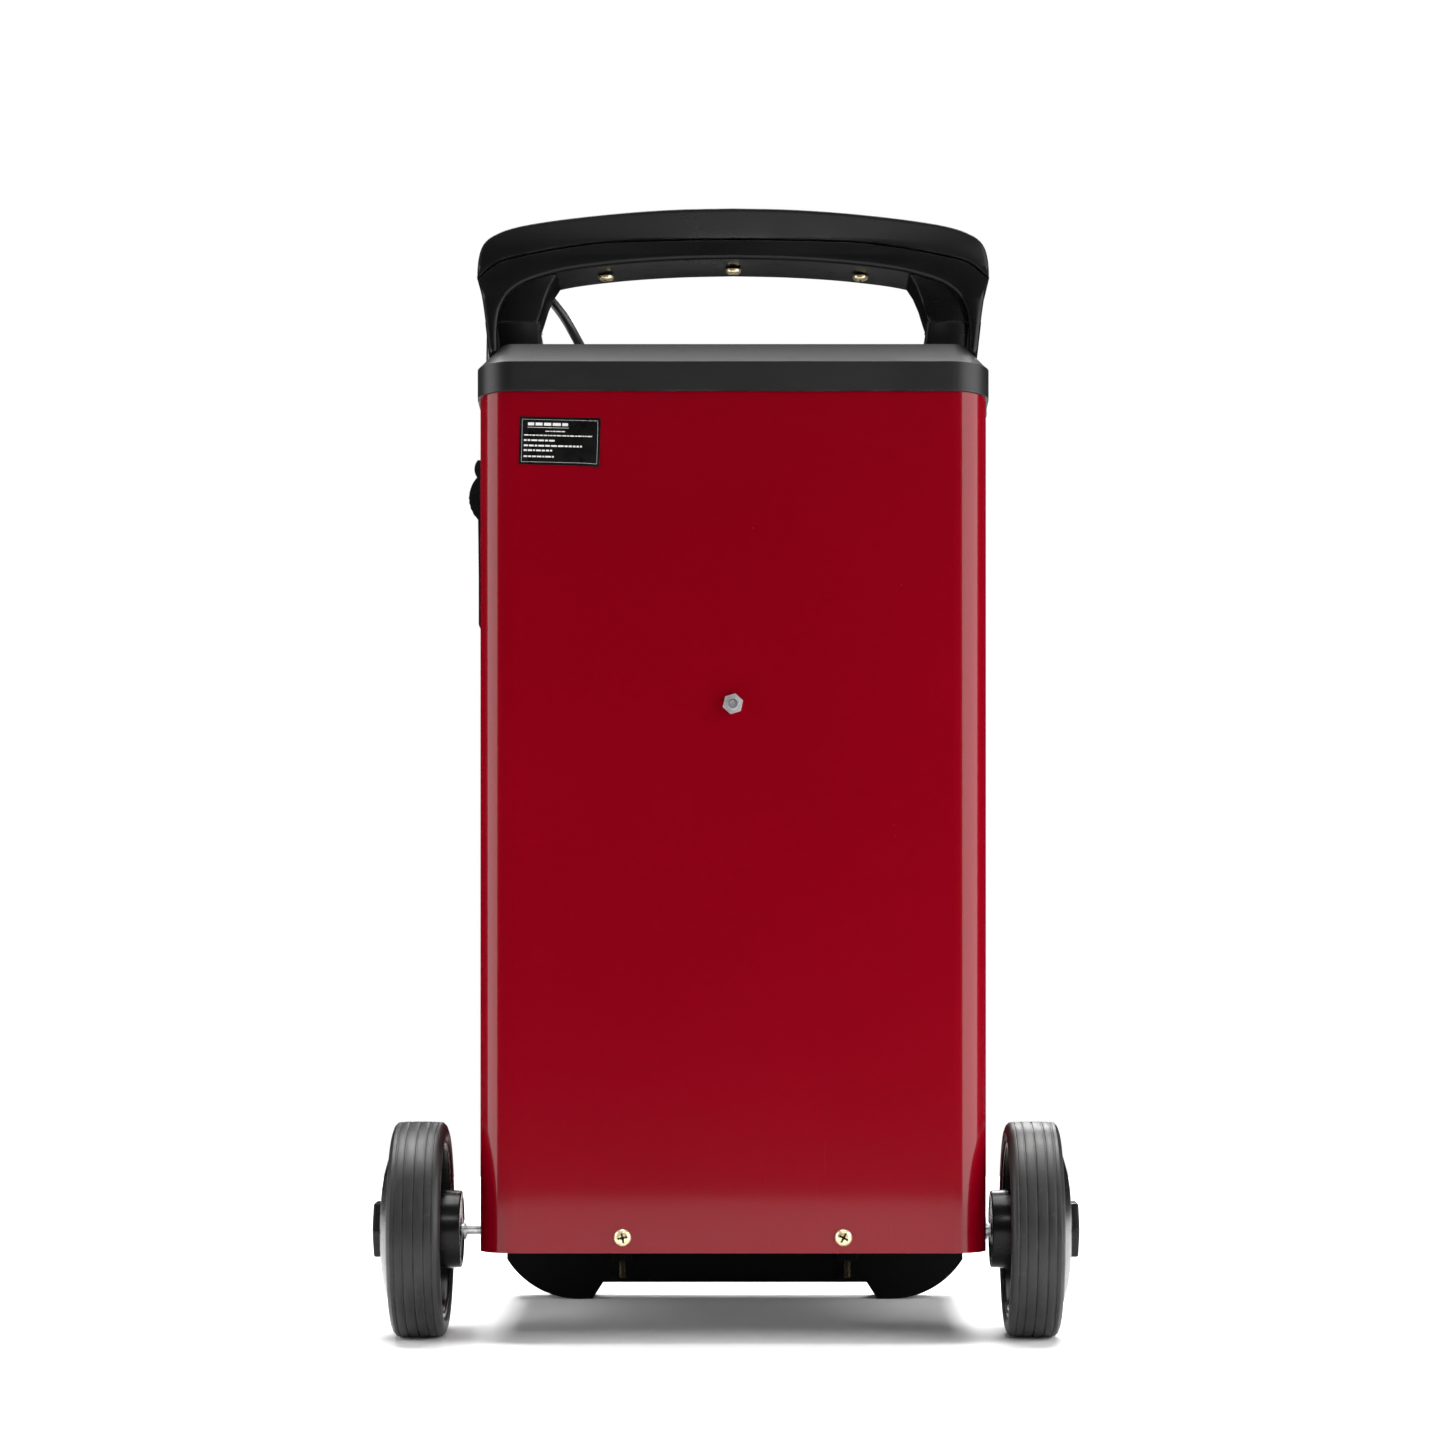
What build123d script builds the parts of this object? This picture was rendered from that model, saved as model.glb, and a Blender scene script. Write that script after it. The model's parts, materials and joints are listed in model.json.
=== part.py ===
from build123d import *
import math
import os

# Wheeled battery charger, millimetres. +Z is up and the floor is z = 0. The plain back faces -Y,
# the control panel faces +Y. x = 0 is the middle of the wheel set, which sits 4 mm off the cabinet.

# --- driving dimensions ---
CABINET_X = 4.0            # the cabinet's middle plane
WIDTH = 280.0              # sheet steel cabinet, outside
BACK_Y = -135.0            # outside of the back
SIDE_END_Y = 123.0         # front edges of the side walls
BOTTOM_Z = 50.0
SHEET = 1.0
CORNER_R = 19.0
PANEL_Y = 137.0            # outside of the front panel

LID_SLOPE = 8.0            # degrees, down to the front
LID_HALF = 141.5
LID_BACK_Y = -137.0
LID_FRONT_Y = 141.0
LID_RIM_Z = 523.7          # lower edge of the rim at the back
LID_RIM_H = 29.0           # rim and bevel together, before the bevel is cut
LID_BEVEL = 13.0
LID_FRONT_R = 19.0
LID_WALL = 3.0             # top and front
LID_SKIRT = 1.3            # back and sides, round the cabinet

AXLE_Y = -95.0
AXLE_Z = 60.0
AXLE_R = 3.0
RUN_CLEARANCE = 0.05       # radial, hub on axle
TYRE_R = 60.0
TYRE_BORE_R = 50.0
TYRE_IN_X = 156.0          # inner side of the tyre, from the middle of the wheel set
TYRE_OUT_X = 185.5
HUB_IN_X = 147.7
HUB_OUT_X = 191.5
CAP_OUT_X = 196.5

HANDLE_BACK_Y = -122.0
HANDLE_DEPTH = 46.0
HANDLE_FALL = 5.5          # degrees, down to the front
HANDLE_HALF = 141.5
HANDLE_TOP_Z = 626.8
HANDLE_SEAM_Z = 609.6
HANDLE_UNDER_Z = 598.9      # the grip's underside at its back edge
POST_SETBACK = 7.0          # rear and front of each post behind the belt's edges
HANDLE_FOOT_Z = 564.5      # where the posts stand on the lid's stubs

BOLT_Z = 351.7             # the bolt through the back
REAR_SCREW_Z = 58.7
REAR_SCREW_X = 60.7

KNOB_TIP_Y = 155.0         # the foremost point
CORD_R = 2.7
COIL_R = 30.0              # middle of the turns
COIL_X = -71.0
COIL_Y = 266.0
GLAND_Z = 96.0

SLOPE = math.tan(math.radians(LID_SLOPE))


def box(x0, x1, y0, y1, z0, z1):
    """A block between two corners."""
    return Pos((x0 + x1) / 2, (y0 + y1) / 2, (z0 + z1) / 2) * Box(x1 - x0, y1 - y0, z1 - z0)


def rod_x(radius, x0, x1, y, z):
    return Pos((x0 + x1) / 2, y, z) * Rot(0, 90, 0) * Cylinder(radius, abs(x1 - x0))


def rod_y(radius, y0, y1, x, z):
    return Pos(x, (y0 + y1) / 2, z) * Rot(90, 0, 0) * Cylinder(radius, abs(y1 - y0))


def rod_z(radius, z0, z1, x, y):
    return Pos(x, y, (z0 + z1) / 2) * Cylinder(radius, z1 - z0)


def pan_screw(radius, height, shank_r, shank):
    """A domed screw along Z: the head rises from z = 0 and the shank goes down."""
    head = Cylinder(radius, 0.4 * height) + Pos(0, 0, 0.5 * height) * Cone(radius, 0.7 * radius, 0.6 * height)
    head += Pos(0, 0, 0.85 * height) * Cone(0.7 * radius, 0.3 * radius, 0.2 * height)
    return Pos(0, 0, 0.2 * height) * head + rod_z(shank_r, -shank, 0.1, 0, 0)


def plan_prism(half, y0, y1, back_r, front_r, z0, z1):
    """A vertical prism with rounded corners, larger ones at the back."""
    outline = Rectangle(2 * half, y1 - y0)
    rear = outline.vertices().sort_by(Axis.Y)[:2]
    outline = fillet(rear, back_r)
    front = outline.vertices().sort_by(Axis.Y)[-2:]
    outline = fillet(front, front_r)
    return Pos(CABINET_X, (y0 + y1) / 2, z0) * extrude(outline, z1 - z0)


def below_slope(z_at_back):
    """Everything under a plane that starts at this height at the lid's back and falls to the front."""
    reach = 400.0
    side = Polyline(
        (LID_BACK_Y - reach, z_at_back + reach * SLOPE),
        (LID_BACK_Y + 2 * reach, z_at_back - 2 * reach * SLOPE),
        (LID_BACK_Y + 2 * reach, -reach),
        (LID_BACK_Y - reach, -reach),
        close=True,
    )
    face = make_face(Plane.YZ * side)
    return Pos(-reach, 0, 0) * extrude(face, 2 * reach, dir=(1, 0, 0))


# --- cabinet ---

def cabinet():
    """One sheet bent round the back and both sides, with louvre slots low and high on each side."""
    outer = plan_prism(WIDTH / 2, BACK_Y, SIDE_END_Y, CORNER_R, 0.5, BOTTOM_Z, 560)
    inner = plan_prism(
        WIDTH / 2 - SHEET, BACK_Y + SHEET, SIDE_END_Y + 10, CORNER_R - SHEET, 0.5, BOTTOM_Z - 1, 561
    )
    sheet = (outer - inner) & below_slope(LID_RIM_Z + 10)
    slots = []
    for bank_z in (110, 330):
        for row in range(8):
            z = bank_z + 13 * row
            slots.append(box(-WIDTH, WIDTH, -20, 60, z, z + 4))
    holes = [rod_x(AXLE_R + 1, -WIDTH, WIDTH, AXLE_Y, AXLE_Z)]
    holes.append(rod_y(3.1, BACK_Y - 5, BACK_Y + 5, CABINET_X, BOLT_Z))
    for side in (-1, 1):
        holes.append(rod_y(2.3, BACK_Y - 5, BACK_Y + 5, CABINET_X + side * REAR_SCREW_X, REAR_SCREW_Z))
    for y, z in [*lid_screw_places(), (112, 82), (112, 262)]:
        holes.append(rod_x(1.9, -WIDTH, WIDTH, y, z))
    return sheet - slots - holes


def chassis():
    """Floor tray with an upturned edge all round, and two ears that carry the axle."""
    half = WIDTH / 2 - SHEET - 0.5
    back = BACK_Y + SHEET + 0.5
    tray = plan_prism(half, back, SIDE_END_Y, CORNER_R - 1.5, 2, BOTTOM_Z + 1, BOTTOM_Z + 18)
    tray -= plan_prism(half - 1.5, back + 1.5, SIDE_END_Y - 1.5, CORNER_R - 3, 1, BOTTOM_Z + 3, BOTTOM_Z + 19)
    for side in (-1, 1):
        x = CABINET_X + side * 118
        tray += box(x - 1.5, x + 1.5, AXLE_Y - 12, AXLE_Y + 12, BOTTOM_Z + 2, AXLE_Z + 12)
        tray -= rod_y(2.0, back - 2, back + 4, CABINET_X + side * REAR_SCREW_X, REAR_SCREW_Z)
        tray -= rod_z(2.6, BOTTOM_Z - 2, BOTTOM_Z + 5, CABINET_X + side * BASE_SCREW_X, BASE_SCREW_Y)
    return tray - rod_x(AXLE_R + RUN_CLEARANCE, -WIDTH, WIDTH, AXLE_Y, AXLE_Z)


BASE_SCREW_X = 68.4
BASE_SCREW_Y = 99.0
FOOT_R = 52.0
FOOT_X = 95.0
BASE_HALF = 139.0


def base_outline(inset):
    """Half-moon feet joined by a straight bridge; inset shrinks the outline evenly."""
    foot_z = FOOT_R
    r = FOOT_R - inset
    top = BOTTOM_Z
    arc = CenterArc((-FOOT_X, foot_z), r, 180, 90)
    start, end = arc @ 0, arc @ 1
    low = inset
    bridge = 10.3 + inset
    line = Polyline(
        (end.X, end.Y), (-87 + inset, low), (-80.3 + inset, bridge), (80.3 - inset, bridge),
        (87 - inset, low), (-end.X, end.Y),
    )
    mirrored = CenterArc((FOOT_X, foot_z), r, 270, 90)
    last = mirrored @ 1
    close = Polyline((last.X, last.Y), (last.X, top + 5), (start.X, top + 5), (start.X, start.Y))
    return make_face([*arc.edges(), *line.edges(), *mirrored.edges(), *close.edges()])


def base():
    """Front base moulding: a hollow bar with two half-moon feet, open at the top."""
    y0, y1 = 104.0, 132.0
    shell = extrude(Plane.XZ * base_outline(0), y1 - y0, dir=(0, 1, 0))
    pocket = extrude(Plane.XZ * base_outline(3), y1 - y0 - 6, dir=(0, 1, 0))
    body = Pos(CABINET_X, y0, 0) * shell - Pos(CABINET_X, y0 + 3, 0) * pocket
    body &= box(
        CABINET_X - BASE_HALF, CABINET_X + BASE_HALF, y0 - 20, y1 + 20, -1, BOTTOM_Z - 0.2
    )
    for side in (-1, 1):
        x = CABINET_X + side * BASE_SCREW_X
        lug = box(x - 6, x + 6, BASE_SCREW_Y - 6, y0 + 1, 24, BOTTOM_Z - 0.2)
        body += lug
        body -= rod_z(2.6, 0, BOTTOM_Z + 1, x, BASE_SCREW_Y)
    return body


def base_screws():
    """Two long screws that hang from the tray through the lugs of the base, with their ends showing."""
    made = []
    for side in (-1, 1):
        x = CABINET_X + side * BASE_SCREW_X
        shank = rod_z(2.5, 13.5, BOTTOM_Z + 3, x, BASE_SCREW_Y)
        made.append(shank + rod_z(4.6, BOTTOM_Z + 3, BOTTOM_Z + 6, x, BASE_SCREW_Y))
    return Compound(made)


# --- lid and handle ---

def lid():
    """Moulded lid: a rim round the top of the cabinet, a bevel, a sloping top and two handle stubs."""
    solid = plan_prism(LID_HALF, LID_BACK_Y, LID_FRONT_Y, CORNER_R + 2, LID_FRONT_R, 400, 620)
    top = LID_RIM_Z + LID_RIM_H
    solid = (solid & below_slope(top)) - below_slope(LID_RIM_Z)
    solid = chamfer(top_edges(solid), LID_BEVEL)
    hollow = plan_prism(
        LID_HALF - LID_SKIRT, LID_BACK_Y + LID_SKIRT + 0.4, LID_FRONT_Y - LID_WALL,
        CORNER_R + 2 - LID_SKIRT, LID_FRONT_R - LID_WALL, 400, 620,
    )
    hollow = (hollow & below_slope(top - LID_WALL)) - below_slope(LID_RIM_Z - 5)
    solid -= chamfer(top_edges(hollow), LID_BEVEL - 1)
    for side in (-1, 1):
        solid += Pos(CABINET_X, 0, 0) * along_handle(
            stub_outline(side), HANDLE_BACK_Y + POST_SETBACK + 0.5, HANDLE_DEPTH - 2 * POST_SETBACK - 1
        )
    return solid - [rod_x(1.7, -WIDTH, WIDTH, y, z) for y, z in lid_screw_places()]


def top_edges(shape):
    """Edges round the face that looks up the most."""
    return max(shape.faces(), key=lambda face: face.normal_at().Z).edges()


def lid_screw_places():
    """(y, z) of the screws through the rim's sides."""
    return [(y, LID_RIM_Z + 8 - SLOPE * (y - LID_BACK_Y)) for y in (-60, 70)]


def along_handle(face, start_y, depth):
    """A handle part from its outline seen from behind, running forwards and a little down."""
    fall = math.radians(HANDLE_FALL)
    prism = extrude(Plane.XZ * face, depth / math.cos(fall), dir=(0, math.cos(fall), -math.sin(fall)))
    return Pos(0, start_y, 0) * prism


def stub_outline(side):
    """The root of one handle post, on the lid."""
    points = [(107.8, HANDLE_FOOT_Z - 0.2), (137.5, HANDLE_FOOT_Z - 0.2), (134.5, 538), (105.0, 538)]
    return make_face(Polyline([(side * x, z) for x, z in points], close=True))


def arch(z_mid, middle, shoulder, ends):
    """One edge of the handle seen from behind, left to right: a flat middle arc, shoulder arcs that
    meet it smoothly, then straight stretches. Each argument after the first gives (x, drop) pairs."""
    mid_x, mid_drop = middle
    lean = math.asin(2 * mid_x * mid_drop / (mid_x ** 2 + mid_drop ** 2))
    top = ThreePointArc((-mid_x, z_mid - mid_drop), (0, z_mid), (mid_x, z_mid - mid_drop))
    edges = [*top.edges()]
    for side in (-1, 1):
        start, stop = (side * mid_x, z_mid - mid_drop), (side * shoulder[0], z_mid - shoulder[1])
        edges += TangentArc(start, stop, tangent=(side * math.cos(lean), -math.sin(lean))).edges()
        edges += Polyline([stop] + [(side * x, z_mid - drop) for x, drop in ends]).edges()
    return edges


def handle_upper():
    """Top shell of the handle: a hollow band, open along the seam."""
    shell = along_handle(upper_outline(0), HANDLE_BACK_Y, HANDLE_DEPTH)
    crown = shell.edges().filter_by(GeomType.CIRCLE).group_by(Axis.Z)[-1]
    shell = chamfer(crown, 1.2)
    shell -= along_handle(upper_outline(LID_WALL), HANDLE_BACK_Y + LID_WALL, HANDLE_DEPTH - 2 * LID_WALL)
    return Pos(CABINET_X, 0, 0) * shell


def upper_outline(inset):
    """Outline of the top shell seen from behind; the inset one runs past the seam."""
    half = HANDLE_HALF - inset
    top = arch(HANDLE_TOP_Z - inset, (75, 3.9), (131 - inset, 16),
               [(136 - inset, 18.5), (139.5 - inset, 23), (half, 30), (half, 39.2)])
    foot = arch(HANDLE_SEAM_Z - inset, (67, 1.4), (126 - inset, 11.2), [(half, 22)])
    return make_face([*top, *foot])


def handle_lower():
    """Lower shell of the handle: a belt under the seam, and two posts set back from its faces."""
    under = HANDLE_UNDER_Z
    belt = arch(HANDLE_SEAM_Z - 0.4, (67, 1.4), (126, 11.2), [(HANDLE_HALF - 0.4, 22)])
    posts = arch(HANDLE_SEAM_Z - 1.4, (67, 1.4), (126, 11.2), [(HANDLE_HALF - 1.5, 22)])
    middle = ThreePointArc((-92, under - 6.2), (0, under), (92, under - 6.2)).edges()
    belt += middle
    posts += middle
    rim = [(92, under - 6.2), (112, 588), (123.6, 583.8), (131, 577.5), (136.5, 578.5), (139.6, 583),
           (HANDLE_HALF - 0.4, HANDLE_SEAM_Z - 22.4)]
    post = [(92, under - 6.2), (99, under - 8.6), (104.2, 577), (107.8, HANDLE_FOOT_Z),
            (137.5, HANDLE_FOOT_Z), (138.2, 573), (139.6, 583), (HANDLE_HALF - 1.5, HANDLE_SEAM_Z - 23.4)]
    for side in (-1, 1):
        belt += Polyline([(side * x, z) for x, z in rim]).edges()
        posts += Polyline([(side * x, z) for x, z in post]).edges()
    shell = along_handle(make_face(belt), HANDLE_BACK_Y + 2, HANDLE_DEPTH - 4)
    shell += along_handle(make_face(posts), HANDLE_BACK_Y + POST_SETBACK, HANDLE_DEPTH - 2 * POST_SETBACK)
    shell = Pos(CABINET_X, 0, 0) * shell
    for x, z in handle_screw_places():
        shell -= rod_z(2.2, z - 5, z + 14, x, HANDLE_BACK_Y + HANDLE_DEPTH / 2)
    return shell


def handle_screw_places():
    """(x, z) of each screw on the underside of the grip."""
    fall = math.tan(math.radians(HANDLE_FALL)) * (HANDLE_DEPTH / 2 - 3)
    places = []
    for offset in (-71.0, 0.0, 71.0):
        drop = 6.2 * (offset / 92) ** 2
        places.append((CABINET_X + offset, HANDLE_UNDER_Z - drop - fall - 0.5))
    return places


def handle_screws():
    made = []
    for x, z in handle_screw_places():
        screw = Rot(180, 0, 0) * pan_screw(4.4, 2.9, 1.9, 13)
        made.append(Pos(x, HANDLE_BACK_Y + HANDLE_DEPTH / 2, z - 0.1) * screw)
    return Compound(made)


# --- wheels ---

def turned(points):
    """A ring from (distance from the middle of the wheel set, radius) points, turned about the axle."""
    face = make_face(Polyline(points, close=True))
    ring = revolve(face, Axis.X)
    return Pos(0, AXLE_Y, AXLE_Z) * ring


def tyre():
    grooves = (159.8, 164.5, 170.2, 176.4)
    ring = turned([(TYRE_IN_X, TYRE_BORE_R), (TYRE_OUT_X, TYRE_BORE_R), (TYRE_OUT_X, TYRE_R), (TYRE_IN_X, TYRE_R)])
    rims = ring.edges().filter_by(GeomType.CIRCLE).sort_by(SortBy.RADIUS)[-2:]
    ring = fillet(rims, 3.4)
    for x in grooves:
        ring -= turned([(x - 0.5, TYRE_R - 0.8), (x + 0.5, TYRE_R - 0.8), (x + 0.5, TYRE_R + 1), (x - 0.5, TYRE_R + 1)])
    return ring


def hub():
    """Moulded wheel: rim, domed web at the outer side, and a long boss that reaches inwards."""
    bore = AXLE_R + RUN_CLEARANCE
    rim = TYRE_BORE_R - 0.1
    return turned([
        (HUB_IN_X, bore), (HUB_OUT_X - 1, bore), (HUB_OUT_X - 1, 17.7), (HUB_OUT_X, 17.9), (HUB_OUT_X, 27),
        (HUB_OUT_X - 1.2, 33), (TYRE_OUT_X + 1, 44), (TYRE_OUT_X, rim), (TYRE_IN_X + 1, rim),
        (TYRE_IN_X + 1, rim - 3.5), (TYRE_OUT_X - 4, rim - 4), (TYRE_OUT_X - 3, 42), (HUB_OUT_X - 5, 32),
        (HUB_OUT_X - 4, 22), (HUB_IN_X, 21.5),
    ])


def hub_cap():
    """Six-sided push-on cap over the end of the axle."""
    plug = extrude(RegularPolygon(17.4, 6), CAP_OUT_X - HUB_OUT_X + 0.8)
    plug = chamfer(plug.faces().sort_by(Axis.Z)[-1].edges(), 0.8)
    plug = Pos(HUB_OUT_X - 0.8, AXLE_Y, AXLE_Z) * Rot(0, 90, 0) * plug
    return plug - rod_x(AXLE_R + 0.4, HUB_OUT_X - 2, HUB_OUT_X + 2.4, AXLE_Y, AXLE_Z)


def other_side(shape):
    return mirror(shape, Plane.YZ)


def axle():
    return rod_x(AXLE_R, -HUB_OUT_X - 1.5, HUB_OUT_X + 1.5, AXLE_Y, AXLE_Z)


def axle_clips():
    """Push-on ring at the inner end of each hub."""
    made = []
    for side in (-1, 1):
        x = side * (HUB_IN_X - 2)
        ring = rod_x(5.8, x - 0.4, x + 0.4, AXLE_Y, AXLE_Z) + rod_x(4.2, x - 0.9, x + 0.9, AXLE_Y, AXLE_Z)
        made.append(ring - rod_x(AXLE_R, x - 2, x + 2, AXLE_Y, AXLE_Z))
    return Compound(made)


# --- hardware on the back ---

def rear_bolt():
    """Bolt that holds the rectifier plate to the back, its end standing out of the nut."""
    shank = rod_y(3.0, BACK_Y - 8.5, BACK_Y + 5.2, CABINET_X, BOLT_Z)
    shank -= rod_y(1.5, BACK_Y - 9, BACK_Y - 7, CABINET_X, BOLT_Z)
    head = extrude(RegularPolygon(5.77, 6), 4)
    return shank + Pos(CABINET_X, BACK_Y + 9.2, BOLT_Z) * Rot(90, 0, 0) * head


def rear_nut():
    nut = extrude(RegularPolygon(5.77, 6, rotation=12), 5)
    nut = Pos(CABINET_X, BACK_Y, BOLT_Z) * Rot(90, 0, 0) * nut
    nut &= Pos(CABINET_X, BACK_Y - 2.5, BOLT_Z) * Rot(90, 0, 0) * Cylinder(5.6, 5)
    return nut - rod_y(3.0, BACK_Y - 6, BACK_Y + 1, CABINET_X, BOLT_Z)


def rear_screws():
    made = []
    for side in (-1, 1):
        screw = Rot(90, 0, 0) * pan_screw(4.75, 2.6, 1.9, 10)
        made.append(Pos(CABINET_X + side * REAR_SCREW_X, BACK_Y, REAR_SCREW_Z) * screw)
    return Compound(made)


def label():
    """Small plain label near the top of the back."""
    plate = Rot(90, 0, 0) * Rot(0, 0, -1.4) * Box(44.5, 26.5, 0.3)
    return Pos(CABINET_X - 95.2, BACK_Y - 0.2, 496) * plate


# --- control panel on the front ---

PANEL_TOP_Z = 488.0
PLATE = (CABINET_X - 112, CABINET_X + 112, 292.0, 470.0)
PLATE_Y = 134.0
METER = (CABINET_X - 48, 410.0)
SELECTOR = (CABINET_X + 58, 410.0)
TIMER = (CABINET_X + 58, 336.0)
POWER = (CABINET_X - 82, 328.0)
BOOST = (CABINET_X - 42, 328.0)
FUSE = (CABINET_X, 336.0)


def front_panel():
    """Black moulding that closes the front: rounded corners, a shallow recess for the plate."""
    half = WIDTH / 2
    outline = RectangleRounded(2 * half, PANEL_TOP_Z - BOTTOM_Z, 12)
    block = extrude(Plane.XZ * outline, PANEL_Y - SIDE_END_Y - 0.5, dir=(0, 1, 0))
    block = chamfer(block.faces().sort_by(Axis.Y)[-1].edges(), 3)
    block = Pos(CABINET_X, SIDE_END_Y + 0.5, (PANEL_TOP_Z + BOTTOM_Z) / 2) * block
    block -= box(
        CABINET_X - half + 3, CABINET_X + half - 3, SIDE_END_Y, PLATE_Y - 4, BOTTOM_Z + 3, PANEL_TOP_Z - 3
    )
    x0, x1, z0, z1 = PLATE
    block -= box(x0 - 1, x1 + 1, PLATE_Y - 1, PANEL_Y + 1, z0 - 1, z1 + 1)
    for (x, z), size in panel_holes():
        block -= box(x - size[0], x + size[0], 0, PANEL_Y + 1, z - size[1], z + size[1])
    for x in GLANDS.values():
        block -= rod_y(6.05, 0, PANEL_Y + 1, CABINET_X + x, GLAND_Z)
    for row in range(9):
        z = 160 + 12 * row
        block -= box(CABINET_X - 80, CABINET_X + 80, 100, PANEL_Y + 1, z, z + 4.5)
    return block


def panel_holes():
    """Where controls pass through, and half their width and height."""
    return [
        (METER, (36, 30)), (SELECTOR, (4.1, 4.1)), (TIMER, (4.1, 4.1)),
        (POWER, (10.1, 14.1)), (BOOST, (10.1, 14.1)), (FUSE, (8.1, 8.1)),
    ]


def control_plate():
    """Satin plate round the controls."""
    x0, x1, z0, z1 = PLATE
    plate = box(x0, x1, PLATE_Y - 0.9, PLATE_Y + 0.1, z0, z1)
    for (x, z), size in panel_holes():
        plate -= box(x - size[0], x + size[0], 0, PANEL_Y + 1, z - size[1], z + size[1])
    return plate


def meter_case():
    """Open tray behind the window, with a rim on the plate."""
    x, z = METER
    case = box(x - 35.8, x + 35.8, 104, PLATE_Y + 0.4, z - 29.8, z + 29.8)
    case += box(x - 39, x + 39, PLATE_Y + 0.2, PLATE_Y + 5, z - 33, z + 33)
    return case - box(x - 34, x + 34, 106, PLATE_Y + 6, z - 28, z + 28)


def meter_dial():
    x, z = METER
    return box(x - 33.8, x + 33.8, 121, 122, z - 27.8, z + 27.8)


def meter_movement():
    """Moving-coil drum behind the dial's lower edge."""
    x, z = METER
    return rod_y(9, 107, 120.5, x, z - 16)


def meter_pivot():
    x, z = METER
    return rod_y(1.5, 122.2, 127, x, z - 22)


def meter_needle():
    """Pointer resting at the start of the scale."""
    x, z = METER
    blade = box(-0.6, 0.6, 0, 0.8, 3, 43) + rod_y(4, 0, 1.2, 0, 0)
    blade -= rod_y(1.55, -1, 3, 0, 0)
    return Pos(x, 124, z - 22) * Rot(0, NEEDLE_REST, 0) * blade


NEEDLE_REST = 42.0


def meter_window():
    x, z = METER
    return box(x - 33.8, x + 33.8, PLATE_Y + 2, PLATE_Y + 4, z - 27.8, z + 27.8)


def knob(place, radius):
    """Round knob with a finger bar, on its shaft."""
    x, z = place
    y = PLATE_Y + 1.2
    skirt = rod_y(radius, y, y + 4, x, z)
    core = rod_y(radius * 0.72, y + 3, KNOB_TIP_Y - 5, x, z)
    bar = box(x - 4, x + 4, y + 3, KNOB_TIP_Y, z - radius * 0.7, z + radius * 0.9)
    shaft = rod_y(3, 108, y + 6, x, z)
    return skirt + core + bar + shaft


def switch_body(place):
    """Rotary switch behind the panel that the knob's shaft turns in."""
    x, z = place
    deck = rod_y(17, 110, 124, x, z) + rod_y(4, 123, PLATE_Y + 0.8, x, z)
    return deck - rod_y(3.05, 100, PANEL_Y, x, z)


def rocker_frame(place):
    """Switch case with a bezel on the plate and the cross pin that the key tilts on."""
    x, z = place
    body = box(x - 10, x + 10, 112, PLATE_Y + 0.4, z - 14, z + 14)
    body += box(x - 12, x + 12, PLATE_Y + 0.2, PLATE_Y + 2.2, z - 16, z + 16)
    body -= box(x - 7.6, x + 7.6, 118, PLATE_Y + 3, z - 12.6, z + 12.6)
    return body + rod_x(1.25, x - 8, x + 8, ROCKER_Y, z)


def rocker(place):
    """Tilting key on the frame's cross pin, with its upper end out."""
    x, z = place
    profile = Polyline((10.2, -10.8), (8.2, 0), (10.2, 10.8), (3, 10.6), (-3.5, 0), (3, -10.6), close=True)
    key = extrude(Plane.YZ * make_face(profile), 7.2, both=True)
    return Pos(x, ROCKER_Y, z) * Rot(-6, 0, 0) * (key - rod_x(1.3, -9, 9, 0, 0))


ROCKER_Y = 128.0


def fuse_holder():
    x, z = FUSE
    return rod_y(8, 100, PLATE_Y + 0.4, x, z) + rod_y(10, PLATE_Y + 0.2, PLATE_Y + 3, x, z)


def fuse_cap():
    x, z = FUSE
    cap = rod_y(8, PLATE_Y + 3.2, PLATE_Y + 13, x, z)
    return cap - box(x - 6, x + 6, PLATE_Y + 11.5, PLATE_Y + 14, z - 0.8, z + 0.8)


# --- electrical parts inside ---

CORE = (75.0, -35.0, 55.0, 56.0, 181.0)    # half width, back, front, foot, top


def core():
    """Laminated transformer core with a window each side of the middle leg."""
    half, y0, y1, z0, z1 = CORE
    block = box(CABINET_X - half, CABINET_X + half, y0, y1, z0, z1)
    for side in (-1, 1):
        inner, outer = CABINET_X + side * 25, CABINET_X + side * 50
        block -= box(min(inner, outer), max(inner, outer), y0 - 1, y1 + 1, z0 + 25, z1 - 25)
    return block


def winding(inner, outer):
    """A coil round the middle leg, between two half widths."""
    _, y0, y1, z0, z1 = CORE
    solid = box(CABINET_X - outer, CABINET_X + outer, y0 - outer + 25, y1 + outer - 25, z0 + 25.5, z1 - 25.5)
    hole = box(CABINET_X - inner, CABINET_X + inner, y0 - inner + 25, y1 + inner - 25, z0, z1)
    return fillet(solid.edges().filter_by(Axis.Z), outer - 22) - hole


def transformer_feet():
    """Two steel strips under the core."""
    _, y0, y1, z0, _ = CORE
    strips = [box(CABINET_X - 88, CABINET_X + 88, y, y + 18, BOTTOM_Z + 3, z0) for y in (y0, y1 - 18)]
    return Compound(strips)


def rectifier_plate():
    """Finned aluminium plate clamped to the inside of the back."""
    y0 = BACK_Y + SHEET + 0.1
    plate = box(CABINET_X - 62, CABINET_X + 62, y0, y0 + 4, BOLT_Z - 48, BOLT_Z + 48)
    for x in (-60, -52, -20, 20, 52, 60):
        plate += box(CABINET_X + x - 1, CABINET_X + x + 1, y0 + 3, y0 + 24, BOLT_Z - 48, BOLT_Z + 48)
    return plate - rod_y(3.1, BACK_Y, BACK_Y + 10, CABINET_X, BOLT_Z)


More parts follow.
